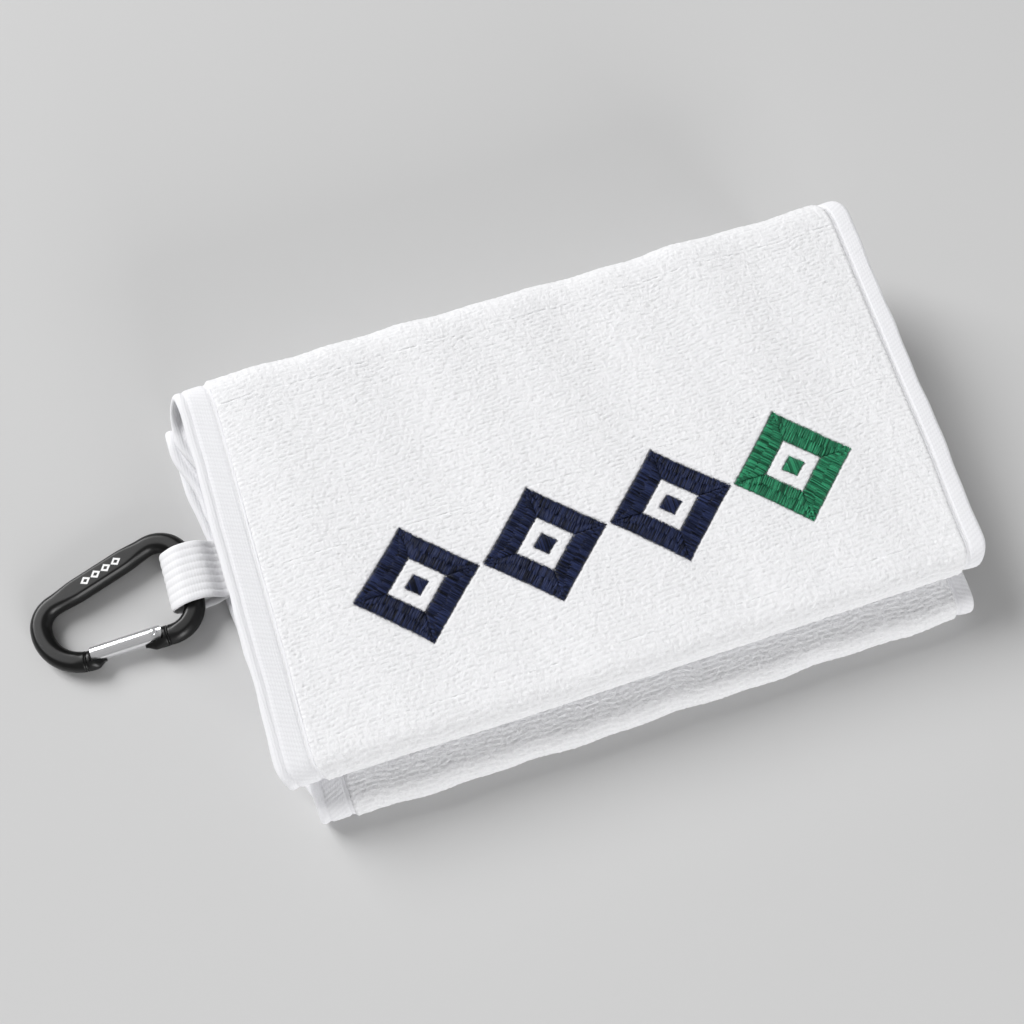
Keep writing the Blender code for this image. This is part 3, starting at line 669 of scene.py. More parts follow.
    def settled(self, x, y, z):
        """The stack's soft swell: a slow wave in height that fades to nothing at the floor, corners that
        droop, and a lower roll that bulges forward."""
        level = np.clip(z / self.top, 0.0, 1.0)
        wave = (0.0007 * np.sin(TAU * (x / 0.21 + 0.15)) * np.cos(TAU * (y / 0.24 + 0.1))
                + 0.0005 * np.sin(TAU * (x / 0.093 + 0.4) + 9.0 * y)
                + 0.0003 * np.sin(TAU * x / 0.041 + 30.0 * y))
        droop = 0.0012 * smooth_step(-x, 0.115, 0.152)
        droop = droop + self.cloth.front_slump * smooth_step(-y, 0.022, 0.082) * level
        low = 1.0 - smooth_step(z, 0.013, 0.024)
        shorter = 1.0 - 0.35 * smooth_step(-x, 0.050, 0.135)
        swell = self.cloth.front_swell * smooth_step(-y, 0.050, 0.086) * (0.75 + 0.25 * low) * shorter
        ripple = 0.0008 * np.sin(TAU * x / 0.070 + 1.0) + 0.0006 * np.sin(TAU * x / 0.031)
        far = smooth_step(y, 0.02, 0.09)
        return np.stack([x, y - swell + 0.5 * ripple * (far + low), z + level * (wave - droop)], axis=-1)

    def rows(self, low, high, fine, coarse):
        """Places along the cloth from low to high: fine steps in the folds, coarse steps elsewhere."""
        steps = [evenly(low, high, coarse)]
        for start, end in zip(self.fold_start, self.fold_end):
            first, last = max(low, start), min(high, end)
            if last > first:
                steps.append(evenly(first, last, fine))
        found = np.unique(np.concatenate(steps))
        keep = np.concatenate([[True], np.diff(found) > fine / 3])
        keep[-1] = True
        return found[keep]

    def panel_s(self, y):
        """Place along the cloth of a y on the top panel."""
        start, end = self.fold_end[0], self.fold_start[1]
        return float(np.interp(y, [np.interp(start, self.s, self.y), np.interp(end, self.s, self.y)],
                               [start, end]))


def sheet():
    """The cloth folded with the sizes of the moment."""
    return FoldedSheet(sizes().cloth)


# ---------------------------------------------------------------- terry

class Motifs:
    """Places and sizes of the embroidered diamonds, from the frame, in flat cloth coordinates."""

    def __init__(self, folded):
        self.stroke = sizes().embroidery.stroke
        boxes = [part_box(f"embroidered_diamond_{number}") for number in (1, 2, 3, 4)]
        self.x = [(low.x + high.x) / 2 for low, high in boxes]
        low, high = boxes[0]
        self.half_x = (high.x - low.x) / 2
        self.s = folded.panel_s((low.y + high.y) / 2)
        self.half_s = (folded.panel_s(high.y) - folded.panel_s(low.y)) / 2
        self.reach = self.half_x * self.half_s / math.hypot(self.half_x, self.half_s)
        self.opening = 1.0 - self.stroke / self.reach
        pip_low, pip_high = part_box("embroidered_pip_1")
        self.pip = (pip_high.x - pip_low.x) / 2 / self.half_x

    def press(self, x, s):
        """1 under the stitches and 0 clear of them.

        |x|/a + |s|/b is 1 on a diamond's edge, so that sum less 1, times its reach, is the distance."""
        share = np.zeros(np.broadcast(x, s).shape)
        for centre in self.x:
            ratio = np.abs(x - centre) / self.half_x + np.abs(s - self.s) / self.half_s
            from_outline = (ratio - 1.0) * self.reach
            ring = np.abs(from_outline + self.stroke / 2) - self.stroke / 2
            pip = (ratio - self.pip) * self.reach
            nearest = np.minimum(ring, pip)
            share = np.maximum(share, 1.0 - smooth_step(nearest, -0.0006, 0.0009))
        return share


def cloth_edges():
    """Flat x of the seams between the terry and its two hem bands."""
    cloth, hems = sizes().cloth, sizes().hems
    return -cloth.width / 2 + hems.left_width, cloth.width / 2 - hems.right_width


def pile_shape(folded, motifs, start, end, side, seed):
    """Pile on one face from start to end along the cloth: a field of loop heads over the ground weave,
    pressed down under the stitches, with a beaded row beside each hem, closed below by a flat sole."""
    cloth = sizes().cloth
    left, right = cloth_edges()
    x = evenly(left, right, PILE_STEP)[None, :]
    s = evenly(start, end, PILE_STEP)[:, None]
    wander = 0.0006 * np.sin(TAU * x / 0.047 + 0.7) + 0.0004 * np.sin(TAU * (x / 0.017 + s / 0.05))
    sway = 0.0005 * np.sin(TAU * s / 0.031)
    heads = loop_heads(x + sway, s + wander, cloth.loop_step, cloth.loop_row, seed)
    drift = 4 * np.sin(TAU * s / 0.0127)
    clumps = 0.5 + 0.5 * np.sin(TAU * x / 0.0083 + drift) * np.sin(TAU * s / 0.0091 + 2.0)
    rise = cloth.loop_height * (heads - 0.45) + 0.00014 * (clumps - 0.5)
    for edge in (left, right):
        off = np.abs(x - edge)
        bead = np.exp(-((off - 0.0013) / 0.0009) ** 2)
        rise = rise * (1 - bead) + bead * (0.00025 * np.cos(TAU * s / 0.0022) + 0.0001)
        rise = rise - 0.0008 * np.exp(-(off / 0.0006) ** 2)
    if side > 0:
        rise = rise - motifs.press(x, s) * sizes().embroidery.sink
    top = folded.place(x, s, side * (folded.half + rise))
    sole = side * (folded.half - PILE_DEPTH)
    ends = np.array([right, left])[None, :]
    bottom = folded.place(ends, s, sole)
    # The loop heights become the tone, which paints shade into the hollows between the loops; the sole takes
    # a middle shade.
    relief = np.concatenate([np.clip(heads, 0.0, 1.0), np.full((len(s), 2), 0.5)], axis=1)
    return tubes(np.concatenate([top, bottom], axis=1)[None]), relief.ravel()


def ground_shape(folded):
    """Ground weave: both faces of the folded sheet at a wide step, a little under the pile."""
    cloth, hems = sizes().cloth, sizes().hems
    left, right = cloth_edges()
    s = folded.rows(hems.end_width, cloth.total - hems.end_width, 0.0012, 0.0026)[:, None]
    x = np.linspace(left, right, 110)[None, :]
    start, end = folded.fold_start, folded.fold_end
    face = smooth_step(s, start[0] - 0.006, start[0])
    face = face * (1 - smooth_step(s, end[1] + 0.004, end[1] + 0.010))
    back = smooth_step(s, start[2] - 0.020, start[2] - 0.014)
    back = back * (1 - smooth_step(s, end[3] + 0.020, end[3] + 0.026))
    between = smooth_step(s, end[2] + 0.008, end[2] + 0.014)
    back = back * (1 - between * (1 - smooth_step(s, start[3] - 0.014, start[3] - 0.008)))
    bumps = 0.0004 * (loop_heads(x, s, 0.0052, 0.0052, SEED + 9) - 0.5)
    upper = folded.place(x, s, folded.half - GROUND_DROP * face + bumps)
    lower = folded.place(x, s, -folded.half + GROUND_DROP * back + bumps)
    return tubes(np.concatenate([upper, lower[:, ::-1]], axis=1)[None])


def build_terry(folded):
    """Ground weave, and the pile wherever it shows, in zones that meet row to row."""
    motifs = Motifs(folded)
    start, end = folded.fold_start, folded.fold_end
    shape = ground_shape(folded)
    # The ground weave gets one painted shade level all over.
    make_piece("terry_ground_weave", shape, "terry", "towel", ["towel_cloth"],
               tone=np.full(len(shape[0]), GROUND_TONE))
    panel = (end[0] + start[1]) / 2
    zones = [
        ("terry_pile_upper_roll", start[0] - 0.004, end[0] + 0.004, 1),
        ("terry_pile_front_half", end[0] + 0.004, panel, 1),
        ("terry_pile_far_half", panel, start[1] - 0.002, 1),
        ("terry_pile_upper_fold", start[1] - 0.002, end[1] + 0.006, 1),
        ("terry_pile_lower_roll", start[2] - 0.017, end[2] + 0.010, -1),
        ("terry_pile_lower_fold", start[3] - 0.010, end[3] + 0.022, -1),
    ]
    for name, low, high, side in zones:
        shape, relief = pile_shape(folded, motifs, low, high, side, SEED)
        make_piece(name, shape, "terry", "towel", tone=relief, sharp=ZONE_EDGE)


# ---------------------------------------------------------------- hems

def hem_profile(width, rim, groove_at):
    """Half thickness of a hem across its width, from outer edge to seam, and its share of ribs.

    A rolled rim is a half round of radius rim; a soft groove follows it where groove_at isn't 0, then the
    ribbed flat, then the groove where the seam pulls the cloth in."""
    c = np.concatenate([rim * (1 - np.cos(np.linspace(0.0, math.pi / 2, 7)))[:-1],
                        np.linspace(rim, width, 30)])
    round_edge = np.sqrt(np.clip(rim ** 2 - np.clip(rim - c, 0.0, None) ** 2, 0.0, None))
    half = round_edge - 0.0004 * smooth_step(c, rim, width)
    ribbed = smooth_step(c, 0.0003, 0.0012)
    if groove_at:
        half = half - 0.00055 * np.exp(-((c - groove_at) / 0.0009) ** 2)
        ribbed = ribbed * (0.2 + 0.8 * smooth_step(c, groove_at - 0.0004, groove_at + 0.0010))
    half = half - 0.00045 * np.exp(-((c - (width - 0.0014)) / 0.0006) ** 2)
    return c, half, ribbed * (1 - smooth_step(c, width - 0.0024, width - 0.0016))


def hem_shape(folded, width, outer, inward, rim, groove_at):
    """Side hem along the whole cloth: the profile carried along s, ribs standing across it."""
    hems = sizes().hems
    c, half, ribbed = hem_profile(width, rim, groove_at)
    total = sizes().cloth.total
    s = evenly(0.0, total, hems.rib_pitch / 3)[:, None]
    wander = 0.5 * np.sin(TAU * s / 0.023) + 0.35 * np.sin(TAU * s / 0.0071)
    rib = 0.5 + 0.5 * np.cos(TAU * s / hems.rib_pitch + wander + c[None, :] * 1500)
    uneven = 0.7 + 0.3 * np.sin(TAU * s / 0.0117 + 300 * c[None, :])
    rise = half[None, :] + hems.rib_height * (rib - 0.5) * ribbed[None, :] * uneven
    edge = 0.0002 * np.sin(TAU * s / 0.047) + 0.00012 * np.sin(TAU * s / 0.0193 + 1.0)
    x = outer + inward * (c[None, :] + edge * (1 - c[None, :] / width))
    upper = folded.place(x, s, rise)
    lower = folded.place(x, s, -rise)
    # Tone darkens the ribs' valleys, the grooves and, a little, the flat away from the rolled rim: painted
    # shade.
    grooves = np.clip(half / rim * 1.15, 0.0, 1.0) ** 2
    tone = np.clip((1 - 0.55 * ribbed * (1 - rib)) * np.where(c > rim, grooves, 1.0), 0.0, 1.0)
    tone = np.concatenate([tone, tone[:, :0:-1]], axis=1)
    return tubes(np.concatenate([upper, lower[:, :0:-1]], axis=1)[None]), tone.ravel()


def end_hem_shape(folded, start, end):
    """Tucked end hem: the same ribs, carried across the cloth."""
    left, right = cloth_edges()
    hems = sizes().hems
    x = evenly(left, right, hems.rib_pitch / 3)[:, None]
    share = np.linspace(0.0, 1.0, 14)[None, :]
    s = start + (end - start) * share
    rib = 0.5 + 0.5 * np.cos(TAU * x / hems.rib_pitch)
    edge = np.sqrt(np.clip(1 - np.clip(1 - 7 * share, 0, None) ** 2, 0.04, 1))
    rise = 0.0015 * edge + hems.rib_height * (rib - 0.5) * edge
    upper = folded.place(x, s, rise)
    lower = folded.place(x, s, -rise)
    # Tone darkens the ribs' valleys: painted shade.
    tone = np.repeat(0.4 + 0.6 * rib, 2 * share.size, axis=1)
    return tubes(np.concatenate([upper, lower[:, ::-1]], axis=1)[None]), tone.ravel()


def build_hems(folded):
    """The two side hems and the two tucked end hems."""
    cloth, hems = sizes().cloth, sizes().hems
    half, total, rim = cloth.width / 2, cloth.total, hems.rim_radius
    bands = (
        ("left_ribbed_hem", "left_hem_band", hem_shape(folded, hems.left_width, -half, 1, rim, FIRST_GROOVE)),
        ("right_ribbed_hem", "right_hem_band", hem_shape(folded, hems.right_width, half, -1, rim, 0)),
        ("upper_tucked_hem", "upper_end_hem", end_hem_shape(folded, 0.0, hems.end_width)),
        ("lower_tucked_hem", "lower_end_hem", end_hem_shape(folded, total, total - hems.end_width)),
    )
    for name, node, (shape, tone) in bands:
        make_piece(name, shape, "hem", "towel", [node], tone)


# ---------------------------------------------------------------- stitches

def stitch_shape(starts, ends, radius, arch, carry, seed, rows=6, sides=6):
    """Many short threads at once.

    Thread t runs from starts[t] to ends[t] on the flat cloth as a tube of an oval section whose middle
    rises by arch * (1 - (2u - 1)^4) along it and whose ends taper; carry maps (x, s, lift) to space."""
    u = np.linspace(0.0, 1.0, rows)[None, :, None]
    turn = TAU * np.arange(sides)[None, None, :] / sides
    run = ends - starts
    run_length = np.maximum(np.hypot(run[:, 0], run[:, 1]), 1e-9)[:, None]
    across = np.stack([-run[:, 1:2] / run_length, run[:, 0:1] / run_length], axis=-1)[:, 0]
    swell = 0.35 + 0.65 * np.sqrt(np.clip(1 - (2 * u - 1) ** 6, 0.0, 1.0))
    offset = radius * swell * np.cos(turn)
    x = starts[:, 0, None, None] + run[:, 0, None, None] * u + across[:, 0, None, None] * offset
    s = starts[:, 1, None, None] + run[:, 1, None, None] * u + across[:, 1, None, None] * offset
    number = np.arange(len(starts))
    high = arch * (0.75 + 0.5 * scatter(number, 3, seed))[:, None, None]
    lift = high * (1 - (2 * u - 1) ** 4) + 0.8 * radius * swell * np.sin(turn)
    shade = np.repeat(scatter(number, 5, seed), rows * sides)
    return tubes(carry(x, s, lift)), shade


def row_of_stitches(low, high, pitch, stitch_length):
    """Start and end distances of stitches in a line."""
    count = int((high - low) / pitch)
    start = low + pitch * (np.arange(count) + 0.2)
    return start, start + stitch_length


def build_stitching(folded):
    """Lock stitches along both side hems and both end hems, sunk in the seam grooves."""
    cloth, hems = sizes().cloth, sizes().hems
    left, right = cloth_edges()
    along_side = (0.003, cloth.total - 0.003)
    seams = (
        ("left", "hem", along_side, left - SIDE_SEAM_INSET, 0.00012),
        ("right", "hem", along_side, right + SIDE_SEAM_INSET, 0.00012),
        ("upper", "end", (left, right), hems.end_width - END_SEAM_INSET, 0.0007),
        ("lower", "end", (left, right), cloth.total - hems.end_width + END_SEAM_INSET, 0.0007),
    )

    def carry(x, s, lift):
        return folded.place(x, s, SIDE_SEAM_LEVEL + lift)

    for name, kind, (low, high), at, arch in seams:
        start, end = row_of_stitches(low, high, hems.stitch_pitch, hems.stitch_length)
        pair = [np.stack([np.full_like(stops, at), stops], axis=-1) for stops in (start, end)]
        if kind == "end":
            pair = [stops[:, ::-1] for stops in pair]
        shape, tone = stitch_shape(*pair, hems.thread_radius, arch, carry, SEED)
        make_piece(name + "_lock_stitches", shape, "thread", "towel",
                   [f"{name}_{kind}_stitching"], tone)


# ---------------------------------------------------------------- embroidery

def satin_ring(motifs, centre, seed):
    """Starts and ends of the satin stitches of one diamond outline, in two rows that interlock.

    Stitches stand square to their side.  They run for the whole stroke, or, near a corner, as far as the
    line that halves the corner.  One row starts at the outer edge and one at the inner edge, and their
    ragged ends meet about half way."""
    half_x, half_s = motifs.half_x, motifs.half_s
    side = math.hypot(half_x, half_s)
    inward = -np.array([half_s, half_x]) / side
    ahead = np.array([-half_x, half_s]) / side
    count = int(side / sizes().embroidery.pitch)
    starts, ends = [], []
    for number, flip in enumerate(((1, 1), (-1, 1), (-1, -1), (1, -1))):
        for row in (0, 1):
            key = np.arange(count) + 1000 * (2 * number + row)
            share = (np.arange(count) + 0.25 + 0.5 * row) / count
            outer = np.array([half_x, 0.0]) + ahead * side * share[:, None]
            room = np.minimum(motifs.stroke, side * np.minimum(outer[:, 0] / half_s, outer[:, 1] / half_x))
            meet = 0.5 + 0.24 * (scatter(key, 1, seed) - 0.5)
            ragged = 0.0005 * (scatter(key, 2, seed) - 0.5)
            lean = 0.0007 * (scatter(key, 4, seed) - 0.5)
            near = ragged if row == 0 else room * (meet - 0.08)
            far = room * (meet + 0.08) if row == 0 else room + ragged
            starts.append((outer + inward * near[:, None]) * flip)
            ends.append((outer + inward * far[:, None] + ahead * lean[:, None]) * flip)
    offset = np.array([centre, motifs.s])
    return np.concatenate(starts) + offset, np.concatenate(ends) + offset


def satin_fill(motifs, centre, seed):
    """Stitches of one small filled diamond: straight lines that shorten towards its two sides."""
    half_x, half_s = motifs.half_x * motifs.pip, motifs.half_s * motifs.pip
    pitch = sizes().embroidery.pitch
    count = int(2 * half_x / pitch)
    x = ((np.arange(count) + 0.5) / count * 2 - 1) * half_x
    tall = half_s * (1 - np.abs(x) / half_x)
    key = np.arange(count)
    ragged = 0.0004 * (scatter(key, 1, seed) - 0.5)
    offset = np.array([centre, motifs.s])
    return (np.stack([x, -tall + ragged], axis=-1) + offset, np.stack([x, tall + ragged], axis=-1) + offset)


def underlay_ring(motifs, centre, carry, low, high):
    """Flat padding under a diamond's stitches: a closed band with a square section round the diamond."""
    corners = np.array([(1.0, 0.0), (0.0, 1.0), (-1.0, 0.0), (0.0, -1.0), (1.0, 0.0)])
    at = np.linspace(0.0, 4.0, 96, endpoint=False)
    path_x = np.interp(at, np.arange(5), corners[:, 0])[:, None]
    path_s = np.interp(at, np.arange(5), corners[:, 1])[:, None]
    inset = 0.0005 / motifs.reach
    scale = np.array([1 - inset, 1 - inset, motifs.opening + inset, motifs.opening + inset])[None, :]
    lift = np.array([low, high, high, low])[None, :]
    x = centre + motifs.half_x * path_x * scale
    s = motifs.s + motifs.half_s * path_s * scale
    return looped(carry(x, s, lift))


def underlay_plate(motifs, centre, carry, low, high):
    """Flat padding under a small filled diamond."""
    corners = np.array([(1.0, 0.0), (0.0, 1.0), (-1.0, 0.0), (0.0, -1.0)]) * motifs.pip * 0.9
    x = centre + motifs.half_x * corners[None, :, 0]
    s = motifs.s + motifs.half_s * corners[None, :, 1]
    lift = np.array([low, high])[:, None]
    return tubes(carry(x, s, lift)[None])


def build_embroidery(folded):
    """The four diamonds, each with the small one inside it, and the backing under them."""
    motifs = Motifs(folded)
    radius = sizes().embroidery.thread_radius
    base = folded.half - THREAD_BEDDING

    def carry(x, s, lift):
        return folded.place(x, s, base + lift)

    for number, centre in enumerate(motifs.x, start=1):
        thread = "green" if number == len(motifs.x) else "navy"
        for kind, stitches, underlay in (("diamond", satin_ring, underlay_ring),
                                         ("pip", satin_fill, underlay_plate)):
            starts, ends = stitches(motifs, centre, SEED + number)
            threads, shade = stitch_shape(starts, ends, radius, 0.00045, carry, SEED + number)
            padding = underlay(motifs, centre, carry, -0.0012, 0.00005)
            # The padding gets a near-dark shade, which darkens the gaps between the satin stitches: painted
            # shade.
            shade = np.concatenate([shade, np.full(len(padding[0]), 0.05)])
            make_piece(f"satin_{kind}_{number}", joined(threads, padding), thread, "towel",
                       [f"embroidered_{kind}_{number}"], shade)
    build_backing(folded, motifs)


def build_backing(folded, motifs):
    """Backing sheet under the stitched part of the top panel: a thin closed slab."""
    low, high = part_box("embroidery_backing")
    x = np.linspace(low.x, high.x, 60)[None, :]
    middle = folded.panel_s((low.y + high.y) / 2)
    reach = motifs.half_s + 0.006
    s = np.linspace(middle - reach, middle + reach, 24)[:, None]
    upper = folded.place(x, s, -folded.half - 0.0003)
    lower = folded.place(x, s, -folded.half - 0.0008)
    shape = tubes(np.concatenate([upper, lower[:, ::-1]], axis=1)[None])
    make_piece("tear_away_backing", shape, "felt", "towel", ["embroidery_backing"])


# ---------------------------------------------------------------- webbing loop

def smooth_path(stops, step):
    """Evenly spaced points on a cubic curve through the stops.

    Between two stops it is the Catmull-Rom cubic: it leaves each stop along the line between that stop's
    neighbours."""
    stops = np.asarray(stops, float)
    padded = np.concatenate([2 * stops[:1] - stops[1:2], stops, 2 * stops[-1:] - stops[-2:-1]])
    u = np.linspace(0.0, 1.0, 24, endpoint=False)[None, :, None]
    a, b, c, d = (padded[i:len(padded) - 3 + i, None, :] for i in range(4))
    curve = 0.5 * (2 * b + (c - a) * u + (2 * a - 5 * b + 4 * c - d) * u ** 2
                   + (3 * b - a - 3 * c + d) * u ** 3)
    curve = np.concatenate([curve.reshape(-1, stops.shape[1]), stops[-1:]])
    along = np.concatenate([[0.0], np.cumsum(np.linalg.norm(np.diff(curve, axis=0), axis=1))])
    even = evenly(0.0, along[-1], step)
    return np.stack([np.interp(even, along, curve[:, k]) for k in range(stops.shape[1])], axis=-1), even


def joint_named(name):
    """The frame's entry for one joint."""
    return next(joint for joint in frame["joints"] if joint["name"] == name)


def webbing_stops(webbing):
    """The webbing's middle line in the XZ plane: from the hem, over the clip's bar, round and back."""
    hinge = joint_named("loop_lift")["pos_m"]
    bar = joint_named("clip_swing")["pos_m"]
    clip = sizes().clip
    half = webbing.thickness / 2
    over = bar[2] + clip.bar_height / 2 + ROOM_OVER + half
    under = ROOM_UNDER + half
    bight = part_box("hanging_loop")[0].x + half - 0.0012
    hem_top = sizes().cloth.thickness / 2 + 0.0018
    inner = hinge[0] + webbing.tail + 0.0035
    return [
        (inner, hem_top + 3.2 * half), (hinge[0] + 0.007, hem_top + 3.2 * half),
        (hinge[0] + 0.001, hem_top + 3.6 * half), (hinge[0] - 0.0045, over - 0.0016),
        (bar[0] + 0.003, over), (bar[0] - 0.0030, over), (bight + 0.0012, bar[2] + 0.0026),
        (bight, bar[2] - 0.0004), (bight + 0.0012, bar[2] - 0.0034), (bar[0] - 0.0035, under),
        (bar[0] + 0.004, under), (hinge[0] - 0.0040, under + 0.0002), (hinge[0] - 0.0012, under + 0.0018),
        (hinge[0] + 0.0014, hem_top + 0.4 * half), (hinge[0] + 0.005, hem_top + 1.1 * half),
        (inner, hem_top + 1.1 * half),
    ]


def build_webbing():
    """Webbing loop: a ribbed section carried along its path, and the bar tack over its tail."""
    webbing = sizes().webbing
    path, along = smooth_path(webbing_stops(webbing), WEBBING_STEP)
    ahead = np.gradient(path, axis=0)
    ahead = ahead / np.linalg.norm(ahead, axis=1)[:, None]
    normal = np.stack([-ahead[:, 1], ahead[:, 0]], axis=-1)
    low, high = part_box("hanging_loop")
    middle = (low.y + high.y) / 2 + webbing.lean
    across = np.linspace(-1.0, 1.0, webbing.ribs * 7 + 1)
    edge = np.sqrt(np.clip(1 - np.abs(across) ** 14, 0.0, 1.0))
    cord = np.abs(np.cos(across * webbing.ribs * math.pi / 2 + math.pi / 2 * (webbing.ribs % 2 == 0))) ** 0.6
    half = (webbing.thickness / 2) * (0.60 + 0.40 * cord) * np.maximum(edge, 0.15)
    weft = 0.00002 * np.cos(TAU * along / 0.0009)[:, None]
    rise = (half[None, :] + weft)[..., None]
    y = middle + across * webbing.width / 2
    wave = 0.0002 * np.sin(TAU * along / 0.021)[:, None]
    spread = y[None, :] + wave + np.zeros((len(path), 1))

    def side(sign):
        place = path[:, None, :] + sign * rise * normal[:, None, :]
        return np.stack([place[..., 0], spread, place[..., 1]], axis=-1)

    shape = tubes(np.concatenate([side(1), side(-1)[:, ::-1]], axis=1)[None])
    hinge = joint_named("loop_lift")["pos_m"]
    bend = ("towel", "loop", (hinge[0] + BEND_REACH, hinge[1], hinge[2]),
            (hinge[0] - BEND_REACH, hinge[1], hinge[2]))
    make_piece("ribbed_webbing_loop", shape, "webbing", bend, ["hanging_loop"])
    tack_low, tack_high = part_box("loop_bar_tack")
    count = 56
    y = np.linspace(tack_low.y, tack_high.y, count)
    lean = 0.0002 * (np.arange(count) % 2 * 2 - 1)
    starts = np.stack([np.full(count, tack_low.x - 0.0002), y - lean], axis=-1)
    ends = np.stack([np.full(count, tack_high.x + 0.0002), y + lean], axis=-1)
    top = path[0, 1] + webbing.thickness / 2

    def carry(x, s, lift):
        return np.stack(np.broadcast_arrays(x, s, top + lift), axis=-1)

    shape, shade = stitch_shape(starts, ends, 0.00026, 0.0003, carry, SEED)
    make_piece("bar_tack_stitches", shape, "thread", "towel", ["loop_bar_tack"], shade)


# ---------------------------------------------------------------- clip

class ClipPlane:
    """The clip's own plane: turns its coordinates, with the wide end at x = 0, into space."""

    def __init__(self):
        self.clip = sizes().clip
        pos = joint_named("clip_swing")["pos_m"]
        drop = pos[2] - self.clip.bar_height / 2
        tilt = math.asin(drop / self.clip.reach)
        self.matrix = np.array(Matrix.Translation(pos) @ Matrix.Rotation(-tilt, 4, "Y"))
        self.gate_y = -self.clip.gate_side + self.clip.gate_offset
        gate_pos = joint_named("gate_open")["pos_m"]
        self.gate_length = -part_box("clip_gate")[0].x + gate_pos[0]
        self.hinge_face = -self.clip.pivot + self.clip.gate_radius + self.clip.gap
        self.nose_face = -self.clip.pivot - self.gate_length - 2 * self.clip.gap
        self.lip_top = self.gate_y - self.clip.gate_radius - self.clip.gap

    def carry(self, x, y, z):
        points = np.stack(np.broadcast_arrays(x, y, z), axis=-1)
        return points @ self.matrix[:3, :3].T + self.matrix[:3, 3]


def frame_path(plane):
    """Middle line of the clip's bar: straight runs joined by arcs, from the hinge lip round to the nose lip.

    Returns points and, for each, how much of the spine's flat it has."""
    clip = plane.clip
    slope = math.tan(clip.spine_angle)
    corners = [
        (Vector((0.0, -clip.gate_side)), clip.wide_radius),
        (Vector((0.0, clip.spine_side)), clip.wide_radius),
        (Vector((-clip.reach, clip.spine_side - slope * clip.reach)), clip.spine_radius),
        (Vector((-clip.reach, -clip.gate_side)), clip.narrow_radius),
    ]
    hinge_end = Vector((plane.hinge_face - clip.hinge_lip, -clip.gate_side))
    nose_end = Vector((plane.nose_face + clip.lip, -clip.gate_side))
    stops = [hinge_end] + [corner for corner, _ in corners] + [nose_end]
    line = [np.array([hinge_end])]
    for i, (corner, radius) in enumerate(corners, start=1):
        back = (stops[i - 1] - corner).normalized()
        ahead = (stops[i + 1] - corner).normalized()
        half = math.acos(max(-1.0, min(1.0, back.dot(ahead)))) / 2
        tangent = radius / math.tan(half)
        centre = corner + (back + ahead).normalized() * radius / math.sin(half)
        start = corner + back * tangent - centre
        sweep = start.angle_signed(corner + ahead * tangent - centre)
        angle = -np.linspace(0.0, sweep, 26)
        turned = np.stack([np.cos(angle) * start.x - np.sin(angle) * start.y,
                           np.sin(angle) * start.x + np.cos(angle) * start.y], axis=-1)
        line.append(np.array(centre) + turned)
    line.append(np.array([nose_end]))
    path = np.concatenate(line)
    along = np.concatenate([[0.0], np.cumsum(np.linalg.norm(np.diff(path, axis=0), axis=1))])
    return path, along, (line[2][-1], line[3][0])


